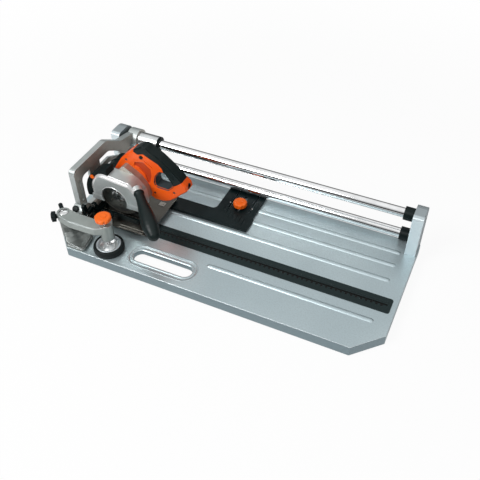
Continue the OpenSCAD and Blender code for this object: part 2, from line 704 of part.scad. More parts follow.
module at_park() {
    translate([roller_x - 4, foot_y, foot_z]) rotate([45, 0, 0])
        translate([0, 0, foot_r + gap]) children();
}
module park_knob() color([0.05, 0.06, 0.06]) at_park() {
    translate([0, 0, -12]) cylinder(h = 13, r = 4);
    cylinder(h = 4, r = 8.5);
    translate([0, 0, 4]) cylinder(h = 1.5, r1 = 8.5, r2 = 7);
}
lever_y = leg_y - 2;
lever_z = foot_z - 1;
// A bell-crank lever: a long thumb arm and a short nose
module lock_lever() color([0.05, 0.06, 0.06]) {
    x0 = gx1 + 8 + gap;
    difference() {
        union() {
            across(x0, x0 + 8) outline([
                [lever_y - 9, lever_z + 34, 5], [lever_y - 6, lever_z - 6, 5],
                [lever_y + 6, lever_z - 7, 5], [lever_y + 5, lever_z + 12, 4],
                [lever_y + 1, lever_z + 38, 5]]);
            across(x0, x0 + 8) outline([
                [lever_y - 2, lever_z - 6, 3], [lever_y + 18, lever_z - 4, 4],
                [lever_y + 27, lever_z - 1, 5], [lever_y + 26, lever_z + 11, 5],
                [lever_y + 14, lever_z + 8, 4], [lever_y, lever_z + 6, 3]]);
            rod_x(x0, x0 + 8, lever_y, lever_z, 8);
        }
        rod_x(x0 - 1, x0 + 9, lever_y, lever_z, 3.5 + run_gap);
    }
}
module carriage_sleeve() color([0.8, 0.83, 0.84]) {
    difference() {
        rod_x(gx0, gx0 + sleeve_l, rail_y, rail_hi, sleeve_r);
        rod_x(gx0 - 1, gx0 + sleeve_l + 1, rail_y, rail_hi, bush_r + seat);
    }
}
bush_r = rail_d / 2 + 3.5;
bush_l = 24;
module sleeve_bushings() color([0.85, 0.84, 0.78]) {
    for (x = [gx0 + 1, gx0 + sleeve_l - bush_l - 1]) difference() {
        rod_x(x, x + bush_l, rail_y, rail_hi, bush_r);
        rod_x(x - 1, x + bush_l + 1, rail_y, rail_hi, rail_d / 2 + run_gap);
    }
}
module wiper_ring() color([0.06, 0.07, 0.07]) {
    x0 = gx0 + sleeve_l;
    difference() {
        union() {
            rod_x(x0, x0 + 3, rail_y, rail_hi, sleeve_r - 0.5);
            translate([x0 + 3, rail_y, rail_hi]) rotate([0, 90, 0])
                cylinder(h = 1.5, r1 = sleeve_r - 0.5, r2 = sleeve_r - 3);
        }
        rod_x(x0 - 1, x0 + 5, rail_y, rail_hi, rail_d / 2 + run_gap);
    }
}
// A nylon fork that straddles the lower rail and keeps the gantry from tipping
module rail_fork() color([0.15, 0.16, 0.17]) {
    slot_r = rail_d / 2 + 0.1;
    x0 = gx0;
    x1 = gx1 + 4;
    difference() {
        across(x0, x1) outline([
            [rail_y - fork_w / 2, rail_lo - 9, 2], [rail_y + fork_w / 2, rail_lo - 9, 2],
            [rail_y + fork_w / 2, fork_top, 0], [rail_y - fork_w / 2, fork_top, 0]]);
        rod_x(x0 - 1, x1 + 1, rail_y, rail_lo, slot_r);
        block(x0 - 1, x1 + 1, rail_y - slot_r, rail_y + slot_r, rail_lo - 12, rail_lo);
    }
    rod_z(fork_top - 0.5, fork_top + 10, gx0 + gantry_t / 2, rail_y, 3);
}
module foot_roller() color([0.86, 0.86, 0.82]) {
    difference() {
        rod_y(foot_y - roller_w / 2, foot_y + roller_w / 2, roller_x, roller_z, roller_r);
        rod_y(foot_y - roller_w, foot_y + roller_w, roller_x, roller_z, pin_r + run_gap);
        for (s = [-1, 1]) translate([roller_x, foot_y + s * roller_w / 2, roller_z])
            rotate([90, 0, 0]) rotate_extrude()
                translate([(roller_r + pin_r) / 2, 0]) circle(r = 1.4, $fn = 24);
    }
}
module roller_pin() color([0.7, 0.72, 0.73]) {
    rod_y(foot_y - 16, foot_y + 16, roller_x, roller_z, pin_r);
}

// ---- sole plate and what stands on it ------------------------------------

sole_x0 = gx1 + 11;
sole_x1 = sole_x0 + sole_l;
sole_front = leg_y + 6;
sole_back = drop_y + 9;
blade_x = gx0 + 102;
hinge_x = gx1 + 9;
hinge_z = sole_top + 17.5;
skirt_y0 = blade_y - 16.5;
skirt_y1 = blade_y + 13.5;
module sole_plate() color([0.78, 0.79, 0.79]) {
    slot_x0 = blade_x - blade_r + 2;
    slot_x1 = blade_x + blade_r + 8;
    difference() {
        union() {
            translate([0, 0, sole_z]) linear_extrude(sole_t) outline([
                [sole_x0, sole_front, 4], [sole_x1, sole_front, 10], [sole_x1, sole_back, 10],
                [sole_x0, sole_back, 0], [sole_x0, drop_y + drop_w, 0],
                [gx0, drop_y + drop_w, 3], [gx0, leg_y + leg_w + 14, 6],
                [sole_x0, leg_y + leg_w + 10, 6]]);
            // two ribs along the front edge and an upturned right edge
            for (y = [sole_front + 4, sole_front + 12])
                intersection() {
                    rod_x(blade_x + 14, sole_x1 - 14, y, sole_top - 0.8, 2.4);
                    block(sole_x0, sole_x1, y - 4, y + 4, sole_top - eps, sole_top + 4);
                }
            block(sole_x1 - 2.5, sole_x1, sole_front + 12, sole_back - 12, sole_top - eps,
                  sole_top + 2.2);
        }
        block(slot_x0, slot_x1, blade_y - 4, blade_y + 4, sole_z - 1, sole_top + 1);
        for (p = sole_bolt_at) rod_z(sole_z - 1, sole_top + 1, p.x, p.y, 2.5 + seat);
        rod_z(sole_z - 1, sole_top + 1, depth_x, depth_y, 2.5 + seat);
    }
}
module sole_bolts() color([0.72, 0.74, 0.75]) {
    for (p = sole_bolt_at) {
        rod_z(sole_z, sole_top + 9, p.x, p.y, 2.5);
        translate([p.x, p.y, sole_z - 1.8]) cylinder(h = 1.8, r1 = 3.6, r2 = 4.6);
    }
}
module sole_clip() color([0.93, 0.93, 0.92]) {
    x = sole_x1 - 26;
    difference() {
        block(x - 8, x + 8, 23, 37, sole_top, sole_top + 1.5);
        rod_z(sole_top - 1, sole_top + 3, x + 3, 30, 2);
    }
}
ear_t = 6;
ear_y0 = blade_y - 15;
ear_y1 = blade_y + 42;
ear_r = 8;
hinge_pin_r = 3.5;
module hinge_bracket() color([0.13, 0.14, 0.15]) {
    foot_x0 = hinge_x - ear_r;
    foot_x1 = hinge_x + 14;
    difference() {
        union() {
            block(foot_x0 + 6.5, foot_x1, ear_y0, ear_y1, sole_top, sole_top + 4);
            for (y = [ear_y0, ear_y1 - ear_t]) {
                rod_y(y, y + ear_t, hinge_x, hinge_z, ear_r);
                side(y, y + ear_t) outline([
                    [foot_x0 + 6.5, sole_top, 0], [foot_x1, sole_top, 0], [foot_x1, sole_top + 4, 2],
                    [hinge_x + ear_r, hinge_z, 0], [hinge_x - 7, hinge_z, 0]]);
            }
        }
        rod_y(ear_y0 - 1, ear_y1 + 1, hinge_x, hinge_z, hinge_pin_r + seat);
        for (y = [ear_y0 + 13, ear_y1 - 14])
            rod_z(sole_top - 1, sole_top + 5, hinge_x + 8, y, 2);
    }
}
module plunge_pin() color([0.8, 0.81, 0.82]) {
    rod_y(ear_y0 - 0.5, ear_y1 + 0.5, hinge_x, hinge_z, hinge_pin_r);
    for (y = [ear_y0 - 2.5, ear_y1]) rod_y(y, y + 2.5, hinge_x, hinge_z, hinge_pin_r + 2);
}
// A coil swept along a helix, standing between the sole plate and the gear housing
spring_x = blade_x - 37;
spring_y = blade_y + 25;
spring_wire = 1;
spring_r = 6;
housing_base = arbor_z - 27;
module plunge_spring() color([0.55, 0.56, 0.57]) {
    turns = 6;
    steps = 14;
    ring = 8;
    h = housing_base - sole_top - 0.3 - 2 * spring_wire;
    count = turns * steps;
    dead = 0.9;
    pts = [for (i = [0:count], j = [0:ring - 1])
        let (a = i * 360 / steps, b = j * 360 / ring, t = i / steps,
             z = h * max(0, min(1, (t - dead) / (turns - 2 * dead))),
             r = spring_r + spring_wire * cos(b))
        [spring_x + r * cos(a), spring_y + r * sin(a), sole_top + spring_wire + z
            + spring_wire * sin(b)]];
    faces = [
        for (i = [0:count - 1], j = [0:ring - 1])
            let (k = (j + 1) % ring)
            [i * ring + j, (i + 1) * ring + j, (i + 1) * ring + k, i * ring + k],
        [for (j = [0:ring - 1]) j],
        [for (j = [0:ring - 1]) count * ring + ring - 1 - j]
    ];
    polyhedron(pts, faces, convexity = 10);
}
module blade_skirt() color([0.06, 0.07, 0.07]) {
    x0 = blade_x - blade_r - 1;
    x1 = blade_x + blade_r - 1;
    h = 16;
    side_t = 2;
    difference() {
        side(skirt_y0, skirt_y1) outline([
            [x0 + 6, sole_top, 0], [x1, sole_top, 0], [x1 - 4, sole_top + h - 8, 6],
            [x1 - 40, sole_top + h, 10], [x0 + 6, sole_top + h - 4, 5]]);
        block(x0 + 8, x1 - 7, skirt_y0 + side_t, skirt_y1 - side_t, sole_top - 1,
              sole_top + h + 1);
        block(x0 - 1, x1 + 9, blade_y - 5, blade_y + 5, sole_top - 1, sole_top + h + 1);
    }
}
depth_x = blade_x - 11;
depth_y = sole_front + 8;
depth_knob_z = sole_top + 20;
module depth_post() color([0.7, 0.72, 0.73]) {
    rod_z(sole_z + 0.2, sole_top, depth_x, depth_y, 2.5);
    rod_z(sole_top, depth_knob_z, depth_x, depth_y, 6);
    rod_z(depth_knob_z, depth_knob_z + 8, depth_x, depth_y, 2.5);
}
module depth_knob() color([0.05, 0.06, 0.06]) {
    translate([depth_x, depth_y, depth_knob_z + gap]) difference() {
        union() {
            cylinder(h = 3, r = 7);
            translate([0, 0, 3]) cylinder(h = 10, r = 11, $fn = 6);
            translate([0, 0, 13]) cylinder(h = 1.5, r1 = 10, r2 = 8, $fn = 6);
        }
        translate([0, 0, -1]) cylinder(h = 10, r = 2.5 + run_gap);
    }
}

// ---- saw -----------------------------------------------------------------

guard_y0 = blade_y - 22;
guard_y1 = guard_y0 + guard_w;
gear_t = 18;
gear_y1 = guard_y1 + gear_t;
body_y0 = gear_y1;
body_y1 = body_y0 + body_w;
body_mid = body_y0 + body_w / 2;
arbor_r = 8;
gear_boss_r = 22;
bevel = 9;
function guard_shape(i) = [
    [blade_x - 66 + i, arbor_z - 2, 0], [blade_x - 66 + i, arbor_z + 30, 40 - i],
    [blade_x - 40, arbor_z + 70 - i, 30 - i], [blade_x + 50 - i / 3, arbor_z + 61 - i, 24 - i],
    [blade_x + 74 - i, arbor_z + 34 - i / 3, 14 - i / 2], [blade_x + 77 - i, arbor_z - 2, 0]];
module upper_guard() color([0.96, 0.42, 0.13]) {
    difference() {
        union() {
            side(guard_y0 + 6, guard_y1) outline(guard_shape(0));
            hull() {
                side(guard_y0 + 6, guard_y0 + 6.1) outline(guard_shape(0));
                side(guard_y0, guard_y0 + 0.1) outline(guard_shape(bevel));
            }
            // the right end drops lower than the cover
            side(guard_y0 + 10, guard_y1) outline([
                [blade_x + 66, arbor_z - 14, 2], [blade_x + 76, arbor_z - 13, 3],
                [blade_x + 77, arbor_z, 0], [blade_x + 66, arbor_z, 0]]);
            at_aux() translate([0, 0, -8]) cylinder(h = 15, r = aux_boss_r);
        }
        side(guard_y0 + guard_wall, guard_y1 - guard_wall) outline([
            [blade_x - 62, arbor_z - 20, 0], [blade_x - 62, arbor_z + 29, 37],
            [blade_x - 39, arbor_z + 66.5, 27], [blade_x + 48, arbor_z + 57.5, 21],
            [blade_x + 70, arbor_z + 32, 11], [blade_x + 72, arbor_z - 20, 0]]);
        rod_y(guard_y0 - 1, guard_y0 + guard_wall + 1, blade_x, arbor_z, window_r);
        rod_y(guard_y1 - guard_wall - 1, guard_y1 + 1, blade_x, arbor_z, gear_boss_r + seat);
        at_aux() translate([0, 0, -20]) cylinder(h = 40, r = 4 + seat);
        // flat seat for the collar of the side handle
        at_aux() translate([0, 0, aux_seat]) cylinder(h = 20, r = aux_boss_r + gap);
    }
}
// The side handle points forward, to the right and slightly down
aux_boss_r = 13;
aux_seat = 5;
aux_neck_r = 11.5;
module at_aux() {
    translate([blade_x + 67.3, blade_y - 9.9, arbor_z + 42.3]) rotate([0, 104.2, -44.3]) children();
}
module aux_handle() color([0.05, 0.06, 0.06]) at_aux() {
    taper = aux_l - 45;
    translate([0, 0, aux_seat]) rotate_extrude() polygon([
        [0, -15], [4, -15], [4, 0], [aux_boss_r - 1, 0], [aux_boss_r, 2], [aux_boss_r, 6],
        [aux_neck_r, 9],
        for (t = [0:6]) [aux_neck_r + (aux_r - aux_neck_r) * (1 - cos(t * 30)) / 2,
                         12 + t * (taper - 12) / 6],
        for (t = [1:3]) [aux_r - (aux_r - 15) * t * t / 9, taper + t * 10],
        for (a = [15:15:75]) [15 * cos(a), taper + 30 + 15 * sin(a)],
        [0, taper + 30 + 15 * sin(75)]]);
}
module gear_housing() color([0.4, 0.43, 0.44]) {
    barrel_y0 = ear_y0 + ear_t + gap;
    barrel_y1 = ear_y1 - ear_t - gap;
    difference() {
        union() {
            side(guard_y1, gear_y1) outline([
                [blade_x - 55, housing_base, 4], [blade_x - 52, arbor_z + 43, 12],
                [blade_x - 12, arbor_z + 54, 10], [blade_x + 9, arbor_z + 78, 6],
                [blade_x + 17, arbor_z + 77, 6], [blade_x + 35, arbor_z + 66, 14],
                [blade_x + 53, arbor_z + 54, 16], [blade_x + 69, arbor_z + 32, 16],
                [blade_x + 76, arbor_z + 4, 12], [blade_x + 71, arbor_z - 10, 6],
                [blade_x + 31, arbor_z - 18, 8], [blade_x, arbor_z - 29, 16],
                [blade_x - 27, housing_base, 4]]);
            rod_y(blade_y + 8.4, guard_y1 + 1, blade_x, arbor_z, gear_boss_r);
            side(guard_y1, gear_y1) outline([
                [hinge_x - 5, hinge_z, 0], [hinge_x + 6, hinge_z - 4, 0],
                [blade_x - 46, housing_base, 4], [blade_x - 40, arbor_z - 5, 0],
                [blade_x - 54, arbor_z, 0]]);
            rod_y(barrel_y0, barrel_y1, hinge_x, hinge_z, ear_r - 0.5);
        }
        rod_y(barrel_y0 - 1, barrel_y1 + 1, hinge_x, hinge_z, hinge_pin_r + run_gap);
        rod_y(blade_y + 8, gear_y1 - 3, blade_x, arbor_z, arbor_r + run_gap);
    }
}
drum_x = blade_x - 42;
drum_z = arbor_z + 3;
module motor_drum() color([0.07, 0.08, 0.08]) {
    y0 = gear_y1;
    y1 = y0 + 74;
    difference() {
        union() {
            rod_y(y0, y1, drum_x, drum_z, motor_r);
            translate([drum_x, y1, drum_z]) rotate([-90, 0, 0])
                cylinder(h = 4, r1 = motor_r, r2 = motor_r - 5);
        }
        // cooling slots round the rear end and in the end cap
        for (a = [15:30:345]) translate([drum_x, y1 - 20, drum_z]) rotate([0, a, 0])
            translate([motor_r - 2.5, 0, -1.8]) cube([4, 14, 3.6]);
        for (z = [-18:9:18]) block(drum_x - 20, drum_x + 20, y1 + 1.5, y1 + 5,
                                   drum_z + z - 1.6, drum_z + z + 1.6);
    }
}
body_at = [
    [-34, 36, 3], [-25, 54, 20], [-5, 86, 40], [29, 118.5, 40], [50, 133, 10], [60, 139, 8],
    [72, 139.5, 8], [81, 132.5, 10], [109, 116, 30], [135.5, 94.5, 40], [157, 74, 10],
    [165, 63, 4], [175, 54, 5], [177.5, 42, 4], [173, 37, 6], [156, 22, 10], [139, 5, 14],
    [122, -8, 12], [104, -14.5, 10], [84, -15.5, 10], [69, -8, 8], [65, 4, 10], [61, 21, 15],
    [55, 33, 10], [43, 46, 10], [30, 58, 12]];
finger_at = [
    [87, 42, 8], [92, 60, 8], [103, 76, 8], [116, 78, 7], [139, 45, 4], [123, 28, 8], [90, 29, 8]];
grip_at = [
    [25, 132], [38, 118], [48, 113.5], [63, 119], [86.5, 108], [102, 101], [112, 91], [117, 74],
    [133, 52], [139, 45], [145.5, 48.5], [160, 60.5], [181, 77], [181, 156], [25, 156]];
// Points given from the arbor axis, moved to their place
function from_arbor(p) = [for (q = p) [blade_x + q.x, arbor_z + q.y, if (len(q) > 2) q[2]]];
edge = 2.5;
// Body profile, i smaller all round
module body_2d(i) {
    difference() {
        offset(delta = -i) outline(from_arbor(body_at));
        offset(delta = i) outline(from_arbor(finger_at));
        translate([drum_x, drum_z]) circle(r = motor_r + seat);
    }
}
module body_part(y0, y1, is_grip) {
    side(y0, y1) {
        i = (y0 < body_y0 + eps || y1 > body_y1 - eps) ? edge : 0;
        if (is_grip) intersection() { body_2d(i); polygon(from_arbor(grip_at)); }
        else difference() { body_2d(i); polygon(from_arbor(grip_at)); }
    }
}
module grip_slice(y0, y1, i) {
    side(y0, y1) intersection() { body_2d(i); polygon(from_arbor(grip_at)); }
}
screw_at = from_arbor([[12, 88], [84, 7], [140, 25]]);
button_x = blade_x + 57;
button_z = arbor_z + 108.5;
button_r = 4.5;
module housing_cuts() {
    for (p = screw_at) {
        rod_y(body_y0 - 1, body_y0 + 4, p.x, p.y, 3.5 + seat);
        rod_y(body_y0, body_y1 - 8, p.x, p.y, 1.8 + seat);
    }
    rod_y(body_y0 - 1, body_y0 + 10, button_x, button_z, button_r + run_gap);
    at_trigger() trigger_box(0.4, 14.4);
    at_inlet() translate([0, 0, -20]) cylinder(h = 30, r = inlet_r + seat);
}
module housing_front() color([0.96, 0.42, 0.13]) {
    difference() {
        union() {
            body_part(body_y0, body_y0 + edge, false);
            body_part(body_y0 + edge, body_mid, false);
        }
        housing_cuts();
        // sunk panel and a slit beside it
        side(body_y0 - 1, body_y0 + 3) {
            outline(from_arbor([
                [32, 76, 3], [36, 88, 4], [60, 94, 5], [80, 78, 5], [80, 58, 5], [71, 27, 4],
                [65, 36, 8], [62, 56, 8], [46, 72, 6]]));
            outline(from_arbor([
                [64.3, 100.8, 1], [86.8, 84.9, 1], [85.2, 82.6, 1], [62.7, 98.5, 1]]));
        }
    }
}
module housing_rear() color([0.96, 0.42, 0.13]) {
    difference() {
        union() {
            body_part(body_mid, body_y1 - edge, false);
            body_part(body_y1 - edge, body_y1, false);
        }
        housing_cuts();
    }
}
module grip_cover() color([0.05, 0.06, 0.06]) {
    difference() {
        union() {
            body_part(body_y0, body_y0 + edge, true);
            body_part(body_y0 + edge, body_y1 - 6, true);
            grip_slice(body_y1 - 6, body_y1 - 2.5, 2);
            grip_slice(body_y1 - 2.5, body_y1, 5.5);
        }
        housing_cuts();
        for (t = [0:5]) translate([blade_x + 112 + 6 * t, body_y0 - 1, arbor_z + 103 - 6.6 * t])
            rotate([0, 42, 0]) translate([-9, 0, -1]) cube([13, 2, 2]);
    }
}
module at_trigger() {
    translate([blade_x + 124, body_mid, arbor_z + 66.5]) rotate([0, -124.8, 0]) children();
}
module trigger_box(c, d) {
    // local +Z points out of the grip into the finger opening
    translate([-11 - c, -6 - c, -d]) cube([22 + 2 * c, 12 + 2 * c, d + 1]);
}
module trigger() color([0.2, 0.22, 0.23]) at_trigger() {
    difference() {
        translate([-11, -6, -10]) cube([22, 12, 19]);
        translate([0, 0, 23]) rotate([90, 0, 0]) cylinder(h = 14, r = 16, center = true);
    }
}
module lock_button() color([0.1, 0.11, 0.12]) {
    rod_y(body_y0 - 2.5, body_y0 + 7, button_x, button_z, button_r);
}
// The socket in the tail that a supply cord plugs into
inlet_r = 7.5;
module at_inlet() {
    translate([blade_x + 176, body_mid, arbor_z + 47]) rotate([0, 96, 0]) children();
}
module cable_inlet() color([0.06, 0.07, 0.07]) at_inlet() {
    difference() {
        translate([0, 0, -18]) cylinder(h = 17, r = inlet_r);
        translate([0, 0, -12]) cylinder(h = 12, r = inlet_r - 2.5);
    }
    for (s = [-1, 1]) translate([0, s * 2.4, -13]) cylinder(h = 9, r = 0.9);
}
module housing_screws() color([0.35, 0.37, 0.38]) {
    for (p = screw_at) {
        difference() {
            rod_y(body_y0 + 1, body_y0 + 4, p.x, p.y, 3.5);
            translate([p.x, body_y0, p.y]) rotate([-90, 0, 0]) cylinder(h = 2.4, r = 1.8, $fn = 6);
        }
        rod_y(body_y0 + 3.9, body_y1 - 9, p.x, p.y, 1.8);
    }
}
chute_r = 84;
module sector(r, a0, a1) {
    polygon([[0, 0], for (k = [0:12]) let (a = a0 + (a1 - a0) * k / 12)
        [r * cos(a), r * sin(a)]]);
}
module dust_chute() color([0.06, 0.07, 0.07]) {
    difference() {
        side(guard_y0 + 5, guard_y1 - 4) difference() {
            translate([blade_x, arbor_z]) sector(chute_r, 100, 190);
            translate([blade_x, arbor_z]) circle(r = 67);
            outline(guard_shape(-seat));
        }
        side(guard_y0 + 9, guard_y1 - 8) difference() {
            translate([blade_x, arbor_z]) sector(chute_r - 3, 165, 195);
            translate([blade_x, arbor_z]) circle(r = 70);
        }
        rod_y(guard_y0, guard_y0 + 12, cap_x, cap_z, 4 + seat);
    }
}
cap_at = (67 + chute_r) / 2 + 2;
cap_x = blade_x + cap_at * cos(139);
cap_z = arbor_z + cap_at * sin(139);
module chute_cap() color([0.98, 0.45, 0.3]) {
    rod_y(guard_y0 + 3, guard_y0 + 5, cap_x, cap_z, 5.5);
    rod_y(guard_y0 + 4.9, guard_y0 + 11, cap_x, cap_z, 4);
}

// ---- blade and its clamping parts ----------------------------------------

disc_y0 = blade_y - blade_t / 2;
disc_y1 = blade_y + blade_t / 2;
outer_y0 = disc_y0 - 8;
module arbor_shaft() color([0.6, 0.62, 0.63]) {
    difference() {
        rod_y(outer_y0 + 0.5, gear_y1 - 3.5, blade_x, arbor_z, arbor_r);
        rod_y(outer_y0, outer_y0 + 17, blade_x, arbor_z, 4 + seat);
    }
}
module inner_flange() color([0.6, 0.62, 0.63]) {
    difference() {
        union() {
            rod_y(disc_y1, disc_y1 + 3, blade_x, arbor_z, flange_r);
            rod_y(disc_y1 + 2.9, disc_y1 + 7, blade_x, arbor_z, 13);
        }
        rod_y(disc_y1 - 1, disc_y1 + 8, blade_x, arbor_z, arbor_r + seat);
    }
}
module cutting_disc() color([0.62, 0.64, 0.65]) {
    difference() {
        rod_y(disc_y0, disc_y1, blade_x, arbor_z, blade_r);
        rod_y(disc_y0 - 1, disc_y1 + 1, blade_x, arbor_z, arbor_r + seat);
        // cooling holes on a ring
        for (a = [0:45:315]) rod_y(disc_y0 - 1, disc_y1 + 1, blade_x + 34 * cos(a),
                                   arbor_z + 34 * sin(a), 3);
        for (a = [22.5:45:337.5])
            translate([blade_x, disc_y0 - 1, arbor_z]) rotate([0, a, 0])
                translate([blade_r - 7, 0, -0.6]) cube([9, blade_t + 2, 1.2]);
    }
}
module outer_flange() color([0.72, 0.74, 0.75]) {
    difference() {
        translate([blade_x, disc_y0, arbor_z]) rotate([90, 0, 0]) rotate_extrude()
            polygon([[arbor_r + seat, 0], [flange_r, 0], [flange_r, 3], [flange_r - 3, 6],
                     [12, 8], [arbor_r + seat, 8]]);
        for (a = [0, 180]) rod_y(outer_y0 - 1, outer_y0 + 5, blade_x + 14 * cos(a),
                                 arbor_z + 14 * sin(a), 1.5);
    }
}
module arbor_bolt() color([0.5, 0.52, 0.53]) {
    difference() {
        union() {
            rod_y(outer_y0 - 1.5, outer_y0, blade_x, arbor_z, 11);
            rod_y(outer_y0 - 6.5, outer_y0 - 1.4, blade_x, arbor_z, 7);
            rod_y(outer_y0 - 0.1, outer_y0 + 15, blade_x, arbor_z, 4);
        }
        translate([blade_x, outer_y0 - 7, arbor_z]) rotate([-90, 0, 0])
            cylinder(h = 5, r = 3.5, $fn = 6);
    }
}

// ---- drawing -------------------------------------------------------------

table_top();
kerf_insert();
rubber_feet();
left_bracket();
right_bracket();
upper_rail();
lower_rail();
rail_buffers();
bracket_screws();
clamp_base();
pivot_bolt();
clamp_arm();
star_knob();
lock_grip();
clamp_screw();
clamp_knob();
pad_dish();
pad_ring();
pad_tyre();
fence_plate();
fence_stud();
fence_knob();
gantry_frame();
carriage_sleeve();
sleeve_bushings();
wiper_ring();
rail_fork();
foot_roller();
roller_pin();
park_knob();
lock_lever();
sole_plate();
sole_bolts();
sole_clip();
hinge_bracket();
plunge_pin();
plunge_spring();
blade_skirt();
depth_post();
depth_knob();
upper_guard();
gear_housing();
motor_drum();
housing_front();
housing_rear();
grip_cover();
trigger();
lock_button();
aux_handle();
dust_chute();
chute_cap();
cable_inlet();
housing_screws();
arbor_shaft();
inner_flange();
cutting_disc();
outer_flange();
arbor_bolt();
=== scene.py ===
# %% [markdown]
# # A rail-guided tile cutter
# The object is a pressed metal table with two chrome rails behind it. A cast
# gantry slides along the rails and carries a small saw that plunges into the
# tile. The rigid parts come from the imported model, and this script gives them
# their finishes, adds the small details and lights them.

# %% Load the rigid model
import math

import bmesh
import bpy
from mathutils import Matrix, Vector


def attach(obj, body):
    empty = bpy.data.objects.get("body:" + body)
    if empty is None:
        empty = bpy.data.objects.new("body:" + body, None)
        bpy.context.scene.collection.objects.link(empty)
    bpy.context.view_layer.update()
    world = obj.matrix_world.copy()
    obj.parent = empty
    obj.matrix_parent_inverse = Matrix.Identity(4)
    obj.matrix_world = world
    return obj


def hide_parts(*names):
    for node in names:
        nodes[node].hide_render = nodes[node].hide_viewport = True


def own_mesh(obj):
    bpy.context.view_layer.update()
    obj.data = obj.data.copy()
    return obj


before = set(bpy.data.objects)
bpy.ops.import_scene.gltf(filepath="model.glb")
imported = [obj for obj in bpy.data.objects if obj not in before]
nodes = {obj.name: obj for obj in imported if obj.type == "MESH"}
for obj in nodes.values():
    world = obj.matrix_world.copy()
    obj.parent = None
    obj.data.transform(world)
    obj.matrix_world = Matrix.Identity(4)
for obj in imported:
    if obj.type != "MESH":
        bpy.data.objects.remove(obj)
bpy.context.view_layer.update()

# %% [markdown]
# ## Camera
# The cutter is seen from the front right and from well above, with a long
# lens, so that its long sides run almost parallel. The camera's axes are given
# as three unit vectors, which leaves no doubt about its roll.

# %% Camera
EYE = Vector((0.51475, -1.03033, 1.15931))
RIGHT = Vector((0.90594, 0.42323, -0.01233))
UP = Vector((-0.28856, 0.63844, 0.71354))
AHEAD = Vector((-0.30986, 0.64286, -0.70051))
lens = bpy.data.cameras.new("view")
lens.lens = 48.26
lens.sensor_width = 36
lens.clip_end = 60
camera = bpy.data.objects.new("view", lens)
bpy.context.scene.collection.objects.link(camera)
camera.matrix_world = Matrix((
    (RIGHT.x, UP.x, -AHEAD.x, EYE.x),
    (RIGHT.y, UP.y, -AHEAD.y, EYE.y),
    (RIGHT.z, UP.z, -AHEAD.z, EYE.z),
    (0, 0, 0, 1)))
bpy.context.scene.camera = camera
print("camera", round(EYE.length, 3), "m from the origin")

# %% [markdown]
# ## Writing shaders as sums
# A material is a small calculation. Each node is a step in it, and drawing
# dozens of them by hand hides the idea. `Wire` stands for one socket and knows
# the signs + - * /, so a formula can be written as a formula. `Finish` holds a
# material and makes any other node.

# %% Wires that can be calculated with
class Wire:
    """One output socket, which Python can add, multiply and so on."""

    def __init__(self, tree, socket):
        self.tree = tree
        self.socket = socket

    def step(self, operation, *values):
        node = self.tree.nodes.new("ShaderNodeMath")
        node.operation = operation
        for place, value in enumerate(values):
            feed(self.tree, node.inputs[place], value)
        return Wire(self.tree, node.outputs[0])

    def __add__(self, other):
        return self.step("ADD", self, other)

    def __radd__(self, other):
        return self.step("ADD", other, self)

    def __sub__(self, other):
        return self.step("SUBTRACT", self, other)

    def __rsub__(self, other):
        return self.step("SUBTRACT", other, self)

    def __mul__(self, other):
        return self.step("MULTIPLY", self, other)

    def __rmul__(self, other):
        return self.step("MULTIPLY", other, self)

    def __truediv__(self, other):
        return self.step("DIVIDE", self, other)

    def __pow__(self, other):
        return self.step("POWER", self, other)

    def __abs__(self):
        return self.step("ABSOLUTE", self)


def feed(tree, socket, value):
    """Links a wire to a socket, or sets the socket to a plain value."""
    if isinstance(value, Wire):
        tree.links.new(value.socket, socket)
    else:
        socket.default_value = value


